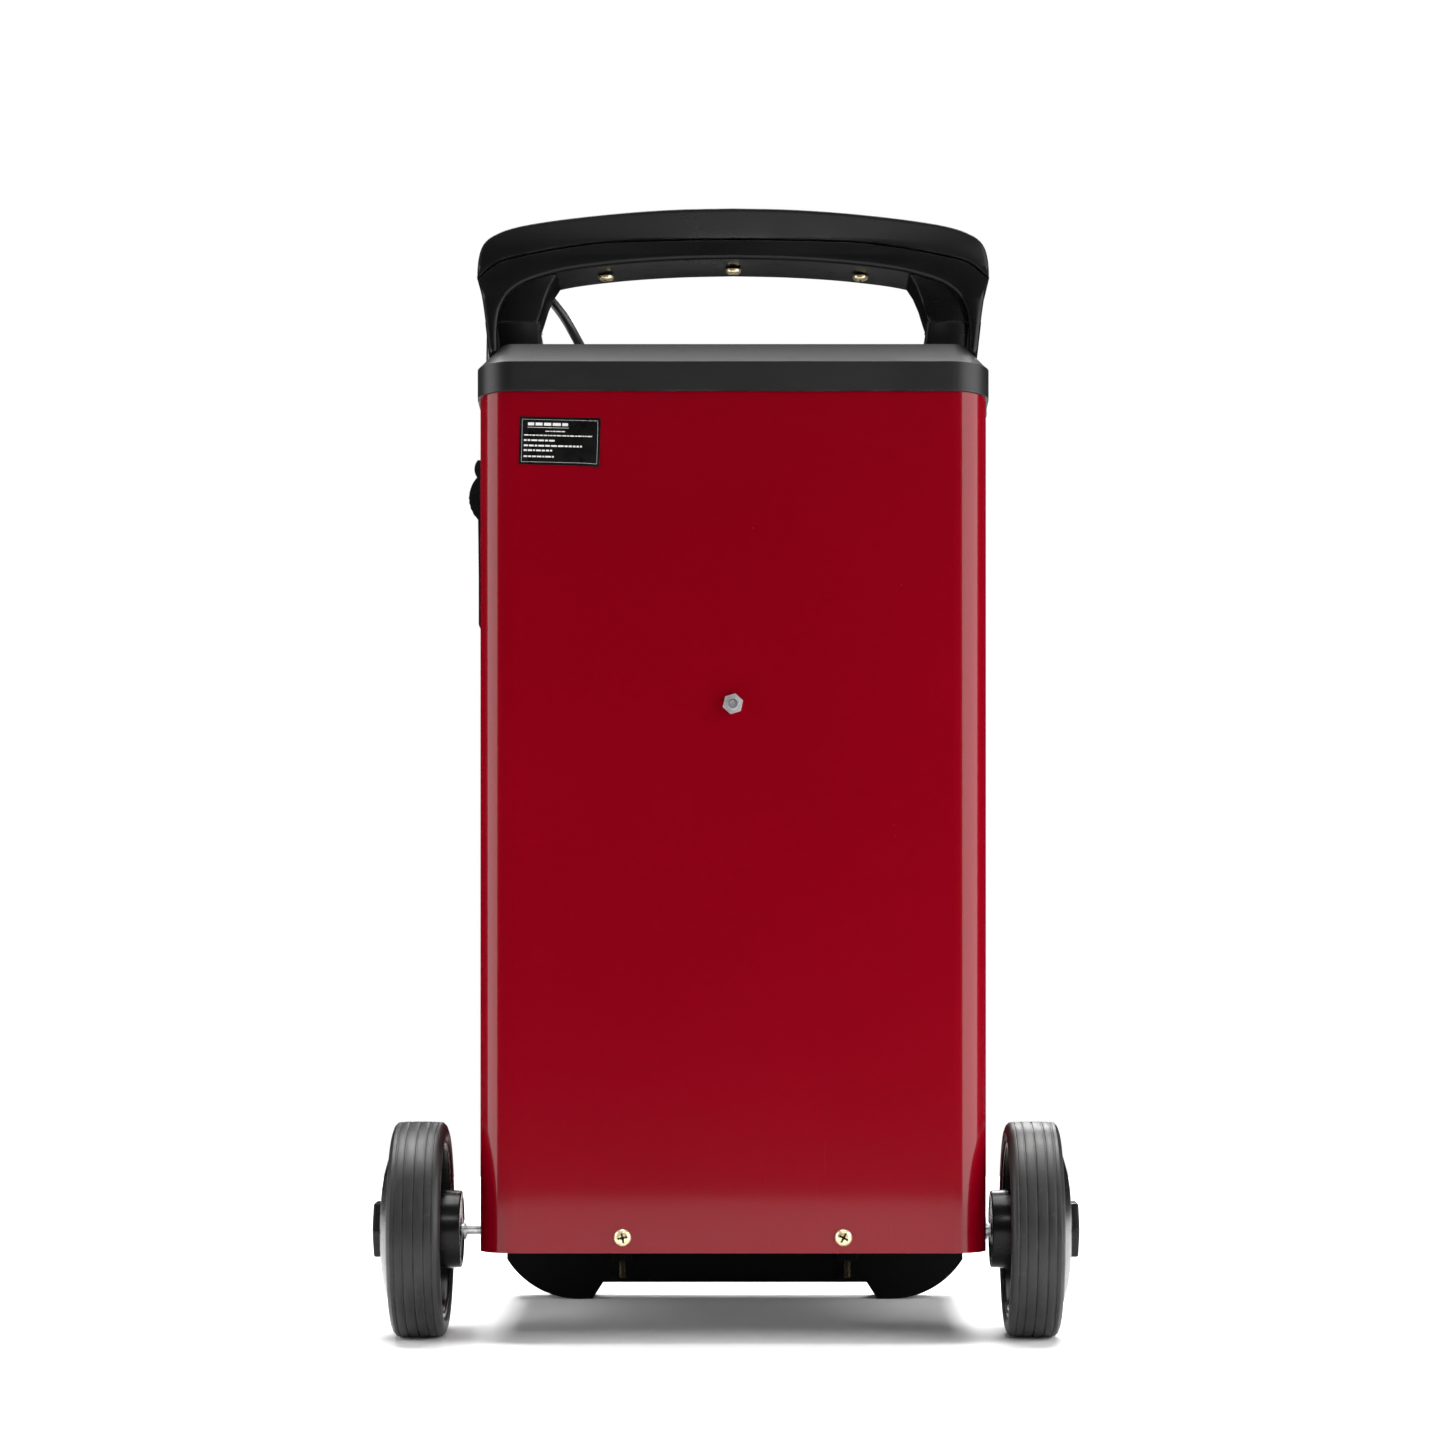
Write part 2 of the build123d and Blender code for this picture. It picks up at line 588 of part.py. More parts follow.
def diodes():
    """Four button diodes on the plate."""
    y0 = BACK_Y + SHEET + 4.1
    made = []
    for x in (-36, 36):
        for z in (-26, 26):
            case = rod_y(6.4, y0, y0 + 7, CABINET_X + x, BOLT_Z + z)
            made.append(case + rod_y(0.8, y0 + 6, y0 + 16, CABINET_X + x, BOLT_Z + z))
    return Compound(made)


def thermal_cutout():
    y0 = BACK_Y + SHEET + 4.1
    body = box(CABINET_X - 9, CABINET_X + 9, y0, y0 + 6, BOLT_Z + 14, BOLT_Z + 32)
    return body + rod_y(6, y0 + 5, y0 + 9, CABINET_X, BOLT_Z + 23)


def terminal_block():
    """Row of screw terminals on the tray."""
    block = box(CABINET_X - 48, CABINET_X + 4, 84, 104, BOTTOM_Z + 3, BOTTOM_Z + 25)
    for step in range(4):
        x = CABINET_X - 41 + 12.7 * step
        block -= rod_z(3.2, BOTTOM_Z + 17, BOTTOM_Z + 26, x, 94)
    return block


# --- outlets, lead and clamp ---

GLANDS = {"black_lead_gland": -108.0, "red_lead_outlet": -64.0, "mains_inlet_gland": 108.0}


def gland(x):
    """Cable gland through the panel: a collar outside, a nut inside, and a bore for the cord."""
    x = CABINET_X + x
    sleeve = rod_y(6, PANEL_Y - 14, PANEL_Y + 2, x, GLAND_Z) + rod_y(9.5, PANEL_Y, PANEL_Y + 5, x, GLAND_Z)
    nut = Pos(x, PANEL_Y - 7.2, GLAND_Z) * Rot(90, 0, 0) * extrude(RegularPolygon(9, 6), 4)
    return sleeve + nut - rod_y(CORD_R + 0.1, PANEL_Y - 16, PANEL_Y + 6, x, GLAND_Z)


def lead_sleeve():
    """Tapered rubber sleeve where the black lead leaves its gland."""
    x = CABINET_X + GLANDS["black_lead_gland"]
    cone = Pos(x, PANEL_Y + 5 + SLEEVE / 2, GLAND_Z) * Rot(-90, 0, 0) * Cone(6.0, 3.7, SLEEVE)
    return cone


SLEEVE = 24.0
GLAND_OUT = (CABINET_X + GLANDS["black_lead_gland"], PANEL_Y + 5 + SLEEVE, GLAND_Z)
COIL_Z = 2 * CORD_R

# Out of the sleeve, down to the floor and into the coil.
LEAD_TAIL = [
    GLAND_OUT, (-104, 181, 96), (-103.9, 195, 84), (-103.6, 203, 67), (-103.3, 206, 48),
    (-103, 208.5, 29), (-102.7, 215, 12.5), (-102.2, 229, 4), (-101.3, 250, 2.8),
]

# From the clamp back to the hook on the handle, over it, along the lid, down the front to the coil.
LEAD_RUN = [
    (-142, 105, 511), (-142, 105, 526), (-142.6, 97, 538), (-142.5, 78, 545.5), (-141.5, 54, 550),
    (-140, 28, 555.5), (-138.2, 4, 564), (-136.5, -17, 575.5), (-133.5, -38, 588.5), (-125, -55.5, 595.5),
    (-107, -64, 591.5), (-92.5, -62, 577), (-82, -50, 558.5), (-76, -32, 546.2), (-73.5, -8, 541.6),
    (-73, 18, 537.2), (-73.5, 46, 533.2), (-75, 76, 529.2), (-78, 104, 526), (-82, 128, 522.5),
    (-85.5, 146, 512), (-88, 153.5, 493), (-89.5, 156, 462), (-90.6, 157.5, 418), (-91.7, 158.6, 362),
    (-92.6, 159.5, 298), (-93.4, 160.1, 232), (-93.9, 160.9, 168), (-94.2, 162, 108), (-94.5, 163.8, 68),
    (-94.8, 167, 39), (-95, 174, 17.5), (-95.2, 187, 6), (-94.5, 202, 2.9), (-90, 217, 2.75),
    (-82, 227, 2.7), (-73, 231.3, 2.7),
]


def corner_radii(points):
    """The largest arc that each corner's two runs leave room for."""
    radii = []
    for before, at, after in zip(points, points[1:], points[2:]):
        one, two = Vector(*at) - Vector(*before), Vector(*after) - Vector(*at)
        half_turn = math.radians(one.get_angle(two)) / 2
        radii.append(0.45 * min(one.length, two.length) / math.tan(half_turn))
    return radii


def cord_tube(name, points):
    """Round cord along straight runs joined by arcs."""
    radii = corner_radii(points)
    path = FilletPolyline(*points, radius=radii)
    section = Plane(origin=path @ 0, z_dir=path % 0) * Circle(CORD_R)
    tube = sweep(section, path=path)
    share = tube.volume / (math.pi * CORD_R ** 2 * path.length)
    print(name, "length", round(path.length, 1), "volume share", round(share, 4),
          "smallest radii", [round(r, 1) for r in sorted(radii)[:6]])
    return tube


def lead_coil():
    """Outer shape of the four put-away turns, two beside two."""
    half = 2 * CORD_R
    ring = Cylinder(COIL_R + half, 4 * CORD_R) - Cylinder(COIL_R - half, 4 * CORD_R + 1)
    return Pos(COIL_X, COIL_Y, 2 * CORD_R) * ring


def lead_hook():
    """Peg with a raised tip on the front of the left post, which the lead is laid over."""
    x, z = -114.0, 584.0
    y0 = HANDLE_BACK_Y + HANDLE_DEPTH - 2
    return rod_y(5, y0 + 0.1, y0 + 33, x, z) + rod_y(8, y0 + 32.8, y0 + 36.5, x, z + 2)


CLAMP_Y = 105.0
CLAMP_X = -147.0
CLAMP_PIVOT_Z = 455.0
CLAMP_HALF = 9.0


def clamp_rest():
    """Bracket on the side of the cabinet with an upright tongue that the clamp bites."""
    x = CABINET_X - WIDTH / 2
    rest = box(x - 3, x - 0.1, CLAMP_Y - 11, CLAMP_Y + 11, 388, 405)
    rest += box(-149.4, x - 1, CLAMP_Y - 11, CLAMP_Y + 11, 388, 392)
    return rest + box(-149.4, -144.6, CLAMP_Y - 11, CLAMP_Y + 11, 388, 432)


def clamp_slab(points, half):
    """A clamp part from its outline seen from behind."""
    face = make_face(Polyline([(x, z) for x, z in points], close=True))
    return Pos(0, CLAMP_Y - half, 0) * extrude(Plane.XZ * face, 2 * half, dir=(0, 1, 0))


def clamp_inner_half():
    """Half that lies against the cabinet: jaw below, grip above, lug for the pivot."""
    body = clamp_slab(
        [(-144.4, 410), (-141, 408), (-139, 413), (-138.8, 440), (-138.8, 508), (-139.5, 511),
         (-144.6, 511), (-144.6, 466), (-143.5, 455), (-144.4, 440)], CLAMP_HALF)
    lug = rod_y(3.4, CLAMP_Y - 3, CLAMP_Y + 3, CLAMP_X, CLAMP_PIVOT_Z)
    lug += box(CLAMP_X, -143, CLAMP_Y - 3, CLAMP_Y + 3, CLAMP_PIVOT_Z - 3.4, CLAMP_PIVOT_Z + 3.4)
    return body + lug - rod_y(1.5, CLAMP_Y - 12, CLAMP_Y + 12, CLAMP_X, CLAMP_PIVOT_Z)


def clamp_outer_half():
    """Half that swings: jaw below, two lugs, and a grip with a swelling and a small bulb."""
    outline = [
        Polyline((-149.6, 440), (-149.6, 410), (-150.8, 408.5), (-151.8, 411), (-151.8, 440),
                 (-152, 458), (-152.2, 475)),
        ThreePointArc((-152.2, 475), (-157.6, 488.5), (-152.8, 500.5)),
        ThreePointArc((-152.8, 500.5), (-154.4, 505.5), (-152.4, 511)),
        Polyline((-152.4, 511), (-150.8, 511), (-150.4, 470), (-150.8, 455), (-149.6, 440)),
    ]
    edges = [edge for piece in outline for edge in piece.edges()]
    body = extrude(Plane.XZ * make_face(edges), 2 * CLAMP_HALF, dir=(0, 1, 0))
    body = Pos(0, CLAMP_Y - CLAMP_HALF, 0) * body
    for side in (-1, 1):
        y0, y1 = sorted((CLAMP_Y + side * 3.4, CLAMP_Y + side * 8))
        body += rod_y(3.4, y0, y1, CLAMP_X, CLAMP_PIVOT_Z)
        body += box(-152, CLAMP_X, y0, y1, CLAMP_PIVOT_Z - 3.4, CLAMP_PIVOT_Z + 3.4)
    return body - rod_y(1.55, CLAMP_Y - 12, CLAMP_Y + 12, CLAMP_X, CLAMP_PIVOT_Z)


def clamp_pin():
    return rod_y(1.5, CLAMP_Y - 10, CLAMP_Y + 12, CLAMP_X, CLAMP_PIVOT_Z)


def clamp_spring():
    """Torsion spring round the front end of the pin."""
    ring = rod_y(3.0, CLAMP_Y + 8.4, CLAMP_Y + 11.4, CLAMP_X, CLAMP_PIVOT_Z)
    ring -= rod_y(1.6, CLAMP_Y + 8, CLAMP_Y + 12, CLAMP_X, CLAMP_PIVOT_Z)
    return ring + box(CLAMP_X + 1.8, CLAMP_X + 2.8, CLAMP_Y + 9.2, CLAMP_Y + 10.4, CLAMP_PIVOT_Z, 472)


def side_screws():
    """Screws through the side walls into the front panel's edge."""
    made = []
    for side in (-1, 1):
        for z in (82, 262):
            screw = Rot(0, side * 90, 0) * pan_screw(4.0, 2.2, 1.7, 8)
            made.append(Pos(CABINET_X + side * WIDTH / 2, 112, z) * screw)
    return Compound(made)


def lid_screws():
    made = []
    for side in (-1, 1):
        for y, z in lid_screw_places():
            screw = Rot(0, side * 90, 0) * pan_screw(3.6, 2.0, 1.6, 7)
            made.append(Pos(CABINET_X + side * LID_HALF, y, z) * screw)
    return Compound(made)


NODES = {
    "cabinet": cabinet(), "chassis_tray": chassis(), "base_moulding": base(), "base_screws": base_screws(),
    "lid": lid(), "handle_upper": handle_upper(), "handle_lower": handle_lower(),
    "handle_screws": handle_screws(), "lid_screws": lid_screws(), "side_screws": side_screws(),
    "tyre_right": tyre(), "tyre_left": other_side(tyre()),
    "hub_right": hub(), "hub_left": other_side(hub()),
    "hub_cap_right": hub_cap(), "hub_cap_left": other_side(hub_cap()),
    "axle": axle(), "axle_clips": axle_clips(),
    "rear_bolt": rear_bolt(), "rear_nut": rear_nut(), "rear_screws": rear_screws(), "rear_label": label(),
    "front_panel": front_panel(), "control_plate": control_plate(),
    "meter_case": meter_case(), "meter_dial": meter_dial(), "meter_movement": meter_movement(),
    "meter_pivot": meter_pivot(), "meter_needle": meter_needle(), "meter_window": meter_window(),
    "selector_knob": knob(SELECTOR, 19), "timer_knob": knob(TIMER, 15),
    "rotary_switches": Compound([switch_body(SELECTOR), switch_body(TIMER)]),
    "power_rocker": rocker(POWER), "power_rocker_frame": rocker_frame(POWER),
    "boost_rocker": rocker(BOOST), "boost_rocker_frame": rocker_frame(BOOST),
    "fuse_holder": fuse_holder(), "fuse_cap": fuse_cap(),
    "transformer_core": core(), "primary_winding": winding(25.5, 37), "secondary_winding": winding(37.3, 49.5),
    "transformer_feet": transformer_feet(), "rectifier_plate": rectifier_plate(), "rectifier_diodes": diodes(),
    "thermal_cutout": thermal_cutout(), "terminal_block": terminal_block(),
    "clamp_rest": clamp_rest(), "lead_hook": lead_hook(), "lead_sleeve": lead_sleeve(),
    "lead_tail": cord_tube("lead_tail", LEAD_TAIL), "lead_run": cord_tube("lead_run", LEAD_RUN),
    "lead_coil": lead_coil(),
    "clamp_inner_half": clamp_inner_half(), "clamp_outer_half": clamp_outer_half(),
    "clamp_pin": clamp_pin(), "clamp_spring": clamp_spring(),
}
for gland_name, gland_x in GLANDS.items():
    NODES[gland_name] = gland(gland_x)

os.makedirs("parts", exist_ok=True)
for node, shape in NODES.items():
    export_step(shape, f"parts/{node}.step")
print(len(NODES), "nodes")
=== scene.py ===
import json
import math
import random

import bmesh
import bpy
from mathutils import Matrix, Vector
from mathutils.geometry import tessellate_polygon


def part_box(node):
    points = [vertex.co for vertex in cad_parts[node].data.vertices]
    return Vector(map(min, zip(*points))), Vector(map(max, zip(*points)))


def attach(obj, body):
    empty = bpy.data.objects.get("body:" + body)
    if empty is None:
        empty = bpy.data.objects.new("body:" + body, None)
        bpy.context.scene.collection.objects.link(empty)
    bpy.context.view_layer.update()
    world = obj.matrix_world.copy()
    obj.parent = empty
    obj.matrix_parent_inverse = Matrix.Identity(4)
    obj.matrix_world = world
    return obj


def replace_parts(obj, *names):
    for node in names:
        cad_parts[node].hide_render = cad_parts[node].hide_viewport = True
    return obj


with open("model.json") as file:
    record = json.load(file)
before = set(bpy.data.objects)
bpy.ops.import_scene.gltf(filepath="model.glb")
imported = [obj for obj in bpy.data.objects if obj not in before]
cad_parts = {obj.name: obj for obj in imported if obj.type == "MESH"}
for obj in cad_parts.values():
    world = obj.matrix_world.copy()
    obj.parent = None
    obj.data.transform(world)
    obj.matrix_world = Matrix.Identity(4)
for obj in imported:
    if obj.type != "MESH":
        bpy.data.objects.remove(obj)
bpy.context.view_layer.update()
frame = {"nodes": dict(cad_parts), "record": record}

NODES = frame["nodes"]
ROOT = "charger"
MM = 0.001


# --- camera ---

def add_camera():
    """Camera behind the charger, with the photo's framing set by the two shifts."""
    data = bpy.data.cameras.new("camera")
    data.sensor_width = 36.0
    data.lens = 97.54
    data.shift_x = -0.0205
    data.shift_y = 0.116
    data.clip_start = 0.05
    camera = bpy.data.objects.new("camera", data)
    camera.location = (0.0145, -2.285, 0.2495)
    camera.rotation_euler = (math.radians(90), 0, 0)
    bpy.context.scene.collection.objects.link(camera)
    bpy.context.scene.camera = camera


add_camera()


# --- material nodes ---

class Maker:
    """A material with a principled shader and short calls for its procedural parts."""

    def __init__(self, name, color, roughness, metallic=0.0, **sockets):
        self.mat = bpy.data.materials.new(name)
        self.mat.use_nodes = True
        self.tree = self.mat.node_tree
        self.shader = self.tree.nodes["Principled BSDF"]
        self.coords = self.tree.nodes.new("ShaderNodeTexCoord").outputs["Object"]
        self.set("Base Color", (*color, 1))
        self.set("Roughness", roughness)
        self.set("Metallic", metallic)
        for key, value in sockets.items():
            self.set(key.replace("_", " "), value)
        self.normal = None

    def set(self, socket, value):
        self.shader.inputs[socket].default_value = value

    def link(self, source, target):
        self.tree.links.new(source, target)

    def node(self, kind, values=None, **props):
        made = self.tree.nodes.new("ShaderNode" + kind)
        for key, value in props.items():
            setattr(made, key, value)
        for key, value in (values or {}).items():
            if isinstance(value, bpy.types.NodeSocket):
                self.link(value, made.inputs[key])
            else:
                made.inputs[key].default_value = value
        return made

    def stretch(self, scale):
        """Object coordinates scaled along each axis."""
        return self.node("Mapping", {"Vector": self.coords, "Scale": scale}).outputs["Vector"]

    def noise(self, scale, detail=3.0, rough=0.55, vector=None):
        values = {"Vector": vector or self.coords, "Scale": scale, "Detail": detail, "Roughness": rough}
        return self.node("TexNoise", values).outputs["Fac"]

    def cells(self, scale):
        return self.node("TexVoronoi", {"Vector": self.coords, "Scale": scale}).outputs["Distance"]

    def wave(self, scale, direction, distortion):
        values = {"Vector": self.coords, "Scale": scale, "Distortion": distortion}
        return self.node("TexWave", values, bands_direction=direction).outputs["Fac"]

    def span(self, factor, low, high, out_low, out_high):
        """The factor with the range low to high stretched to a new range, and held at its ends."""
        values = {"Value": factor, "From Min": low, "From Max": high, "To Min": out_low, "To Max": out_high}
        return self.node("MapRange", values).outputs["Result"]

    def mix(self, factor, one, two):
        """Blend of two colours."""
        made = self.node("Mix", data_type="RGBA")
        for index, value in ((0, factor), (6, one), (7, two)):
            if isinstance(value, bpy.types.NodeSocket):
                self.link(value, made.inputs[index])
            else:
                made.inputs[index].default_value = value if index == 0 else (*value, 1)
        return made.outputs[2]

    def math(self, operation, one, two):
        return self.node("Math", {0: one, 1: two}, operation=operation).outputs[0]

    def color(self, source):
        self.link(source, self.shader.inputs["Base Color"])

    def rough(self, source):
        self.link(source, self.shader.inputs["Roughness"])

    def gloss(self, scale, detail, low, high):
        """Roughness that wanders between two values."""
        self.rough(self.span(self.noise(scale, detail), 0.3, 0.7, low, high))

    def grain(self, scale, detail, strength, distance):
        """Fine bumps from noise."""
        self.bump(self.noise(scale, detail), strength, distance)

    def bump(self, height, strength, distance):
        values = {"Height": height, "Strength": strength, "Distance": distance}
        if self.normal:
            values["Normal"] = self.normal
        self.normal = self.node("Bump", values).outputs["Normal"]
        self.link(self.normal, self.shader.inputs["Normal"])

    def edge_wear(self, width, low, high):
        """Near 1 on sharp outer edges, broken up by noise."""
        rounded = self.node("Bevel", {"Radius": width}, samples=6).outputs["Normal"]
        plain = self.node("NewGeometry").outputs["Normal"]
        made = self.node("VectorMath", {0: rounded, 1: plain}, operation="DOT_PRODUCT").outputs["Value"]
        return self.span(made, high, low, 0.0, 1.0)


# --- materials ---

def red_paint():
    """Gloss enamel on sheet steel: faint orange peel, a few specks and a fine haze of scuffs."""
    m = Maker("red_paint", (0.30, 0.0, 0.006), 0.24, Coat_Weight=0.45, Coat_Roughness=0.06, Coat_IOR=1.5,
              Specular_IOR_Level=0.08)
    cloud = m.noise(3.0, 4)
    dark = m.mix(m.span(cloud, 0.3, 0.7, 0.0, 1.0), (0.148, 0.0, 0.0042), (0.172, 0.0, 0.0052))
    dust = m.span(m.cells(95.0), 0.0, 0.035, 1.0, 0.0)
    rare = m.span(m.noise(23.0, 2), 0.60, 0.64, 0.0, 1.0)
    speck = m.math("MULTIPLY", dust, rare)
    m.color(m.mix(m.math("MULTIPLY", speck, 0.55), dark, (0.50, 0.16, 0.17)))
    hair = m.noise(1.0, 5, 0.6, m.stretch((900.0, 900.0, 35.0)))
    haze = m.math("MULTIPLY", m.span(hair, 0.62, 0.80, 0.0, 0.10), m.span(m.noise(9.0), 0.45, 0.65, 0.0, 1.0))
    m.rough(m.math("ADD", haze, m.span(cloud, 0.2, 0.8, 0.20, 0.27)))
    m.grain(420.0, 1.5, 0.10, 0.00012)
    m.grain(38.0, 2.0, 0.10, 0.0005)
    return m.mat


def moulded(name, color, roughness, grain=0.00010, scale=900.0, wear=0.5, strength=0.35, shine=0.17):
    """Moulded plastic: fine spark grain, uneven gloss, and paler rubbed edges."""
    m = Maker(name, color, roughness, Specular_IOR_Level=shine)
    patchy = m.span(m.noise(60.0, 5), 0.42, 0.62, 0.0, wear)
    worn = m.math("MULTIPLY", m.edge_wear(0.0011, 0.90, 0.995), patchy)
    cloud = m.span(m.noise(11.0, 5), 0.3, 0.7, 0.0, 1.0)
    base = m.mix(cloud, tuple(0.85 * c for c in color), tuple(1.18 * c + 0.0008 for c in color))
    rare = m.span(m.noise(31.0), 0.58, 0.66, 0.0, 0.4)
    dust = m.math("MULTIPLY", m.span(m.cells(160.0), 0.0, 0.05, 1.0, 0.0), rare)
    base = m.mix(dust, base, (0.06, 0.06, 0.06))
    m.color(m.mix(worn, base, (0.05, 0.05, 0.052)))
    scuff = m.noise(1.0, 5, 0.6, m.stretch((60.0, 500.0, 500.0)))
    rough = m.span(m.noise(17.0, 4), 0.3, 0.7, roughness - 0.05, roughness + 0.06)
    m.rough(m.math("ADD", rough, m.span(scuff, 0.58, 0.75, 0.0, 0.14)))
    m.grain(scale, 2.0, strength, grain)
    return m.mat


def rubber_tyre():
    """Matt black rubber with dust in it and scuffed, greyer shoulders."""
    m = Maker("tyre_rubber", (0.022, 0.022, 0.023), 0.62, Specular_IOR_Level=0.34)
    cloud = m.span(m.noise(22.0, 6, 0.62), 0.35, 0.68, 0.0, 1.0)
    base = m.mix(cloud, (0.006, 0.006, 0.0064), (0.015, 0.0146, 0.0142))
    worn = m.math("MULTIPLY", m.edge_wear(0.0016, 0.86, 0.99), m.span(m.noise(90.0, 5), 0.40, 0.62, 0.0, 0.8))
    base = m.mix(worn, base, (0.045, 0.044, 0.042))
    dust = m.span(m.noise(240.0, 3, 0.7), 0.62, 0.78, 0.0, 0.18)
    m.color(m.mix(dust, base, (0.15, 0.145, 0.14)))
    m.gloss(40.0, 5, 0.36, 0.54)
    m.grain(1300.0, 2.0, 0.5, 0.00012)
    m.grain(120.0, 4.0, 0.22, 0.0003)
    return m.mat


def soft_pvc():
    """Cord jacket: smooth, a little greasy, with drag marks along it."""
    m = Maker("lead_pvc", (0.018, 0.018, 0.019), 0.38, Specular_IOR_Level=0.8)
    cloud = m.span(m.noise(45.0, 5), 0.32, 0.7, 0.0, 1.0)
    m.color(m.mix(cloud, (0.007, 0.007, 0.0075), (0.018, 0.018, 0.0185)))
    m.gloss(140.0, 4, 0.28, 0.48)
    m.grain(700.0, 2.0, 0.25, 0.0001)
    return m.mat


def plated(name, color, roughness, tint, spots=0.5, metallic=1.0):
    """Plated steel: drawn lines, dull patches and darker stains."""
    m = Maker(name, color, roughness, metallic)
    stain = m.span(m.noise(130.0, 5, 0.6), 0.45, 0.72, 0.0, spots)
    m.color(m.mix(stain, color, tint))
    drawn = m.noise(1.0, 3, 0.6, m.stretch((300.0, 1500.0, 1500.0)))
    m.rough(m.span(drawn, 0.3, 0.7, roughness - 0.05, roughness + 0.06))
    m.grain(1100.0, 3.0, 0.16, 0.00006)
    return m.mat


def brushed(name, color, roughness, scale):
    """Sheet metal brushed along X."""
    m = Maker(name, color, roughness, 1.0, Anisotropic=0.5)
    lines = m.noise(1.0, 4, 0.65, m.stretch(scale))
    m.color(m.mix(m.span(lines, 0.35, 0.65, 0.0, 1.0), tuple(0.86 * c for c in color), color))
    m.rough(m.span(lines, 0.3, 0.7, roughness - 0.05, roughness + 0.08))
    m.bump(lines, 0.12, 0.00005)
    return m.mat


def clear_window():
    """Clear moulded window with a few hazy spots."""
    m = Maker("clear", (0.95, 0.97, 0.97), 0.03, IOR=1.49, Transmission_Weight=1.0)
    m.rough(m.span(m.noise(70.0, 4), 0.45, 0.75, 0.02, 0.09))
    m.grain(16.0, 2.0, 0.05, 0.0004)
    return m.mat


def label_film():
    """Black printed film: fine print grain, a soft gloss and rubbed spots."""
    m = Maker("label_film", (0.004, 0.004, 0.004), 0.30, Specular_IOR_Level=0.12)
    cloud = m.span(m.noise(160.0, 5), 0.35, 0.7, 0.0, 1.0)
    m.color(m.mix(cloud, (0.0022, 0.0021, 0.0021), (0.005, 0.0048, 0.0048)))
    m.gloss(90.0, 4, 0.24, 0.40)
    m.grain(260.0, 3.0, 0.2, 0.0001)
    return m.mat


def printed(name, color, low, high):
    """Screen-printed ink, thin enough to show gaps."""
    m = Maker(name, color, 0.5)
    worn = m.span(m.noise(420.0, 4, 0.7), low, high, 0.0, 1.0)
    m.color(m.mix(worn, tuple(0.45 * c for c in color), color))
    m.gloss(200.0, 3, 0.42, 0.6)
    m.grain(800.0, 2.0, 0.2, 0.00005)
    return m.mat


def laminated():
    """Varnished transformer sheets, edge on."""
    m = Maker("core_steel", (0.10, 0.10, 0.105), 0.42, 0.8)
    lines = m.wave(900.0, "Y", 0.3)
    m.color(m.mix(lines, (0.05, 0.048, 0.045), (0.15, 0.148, 0.15)))
    m.gloss(60.0, 4, 0.3, 0.55)
    m.bump(lines, 0.3, 0.0003)
    return m.mat


def wound():
    """Varnished copper wire laid in rows."""
    m = Maker("copper_winding", (0.42, 0.15, 0.05), 0.3, 0.85, Coat_Weight=0.5, Coat_Roughness=0.15)
    rows = m.wave(420.0, "Z", 0.4)
    m.color(m.mix(rows, (0.16, 0.045, 0.014), (0.50, 0.19, 0.07)))
    m.gloss(80.0, 4, 0.2, 0.42)
    m.bump(rows, 0.5, 0.0006)
    return m.mat


def pale_floor():
    """Plain pale studio floor."""
    m = Maker("floor_paper", (0.93, 0.93, 0.93), 0.42, Specular_IOR_Level=0.3)
    m.gloss(4.0, 4, 0.36, 0.50)
    m.grain(300.0, 3.0, 0.03, 0.0002)
    return m.mat


BLACK = (0.0026, 0.0026, 0.0029)
MAT = {                    # by material slot, and a few more finishes that share a slot; three darker ones paint shade into their colour
    "red_paint": red_paint(),
    "black_plastic": moulded("black_plastic", BLACK, 0.30),
    "lid_plastic": moulded("lid_plastic", BLACK, 0.43, shine=0.36),
    # darker copy of the black plastic: painted shade for the base moulding under the cabinet
    "shaded_base_plastic": moulded("shaded_base_plastic", (0.0012, 0.0012, 0.0013), 0.42, shine=0.05),
    # dark brown fill for the screws' cross recesses: painted shade where the recesses lie in shadow
    "recess": moulded("recess", (0.012, 0.009, 0.005), 0.5, shine=0.05),
    "panel_plastic": moulded("panel_plastic", (0.008, 0.008, 0.0085), 0.46, 0.00018, 700.0, 0.4),
    "hub_plastic": moulded("hub_plastic", (0.0045, 0.0045, 0.0048), 0.24, 0.00004, 1200.0, 0.6, 0.2),
    "clamp_insulator": moulded("clamp_insulator", (0.005, 0.005, 0.0052), 0.30, 0.00008, 900.0, 0.5),
    "tyre_rubber": rubber_tyre(),
    "lead_rubber": soft_pvc(),
    "zinc_steel": plated("zinc_steel", (0.66, 0.66, 0.67), 0.32, (0.30, 0.30, 0.31), 0.8, 0.75),
    "dull_zinc": plated("dull_zinc", (0.36, 0.36, 0.37), 0.38, (0.24, 0.24, 0.25), 0.5, 0.85),
    "yellow_zinc": plated("yellow_zinc", (0.80, 0.68, 0.42), 0.30, (0.52, 0.40, 0.22), 0.4, 0.75),
    # near-black copy of the brassy plating: painted shade for thread ends hanging in the shadow under the
    # cabinet
    "shaded_thread_brass": plated("shaded_thread_brass", (0.060, 0.046, 0.026), 0.34, (0.02, 0.015, 0.01)),
    "tray_steel": brushed("tray_steel", (0.42, 0.42, 0.43), 0.36, (20.0, 900.0, 900.0)),
    "plate_metal": brushed("plate_metal", (0.58, 0.58, 0.59), 0.30, (12.0, 900.0, 1400.0)),
    "fin_aluminium": brushed("fin_aluminium", (0.64, 0.65, 0.66), 0.28, (900.0, 900.0, 20.0)),
    "label_film": label_film(),
    "meter_white": printed("meter_white", (0.80, 0.80, 0.76), 0.2, 0.3),
    "needle_red": printed("needle_red", (0.55, 0.02, 0.012), 0.2, 0.3),
    "clear": clear_window(),
    "core_steel": laminated(),
    "copper_winding": wound(),
    "white_ink": printed("white_ink", (0.62, 0.62, 0.60), 0.25, 0.38),
    "black_ink": printed("black_ink", (0.02, 0.02, 0.02), 0.2, 0.3),
    "red_ink": printed("red_ink", (0.55, 0.02, 0.02), 0.2, 0.3),
}
FLOOR_MAT = pale_floor()
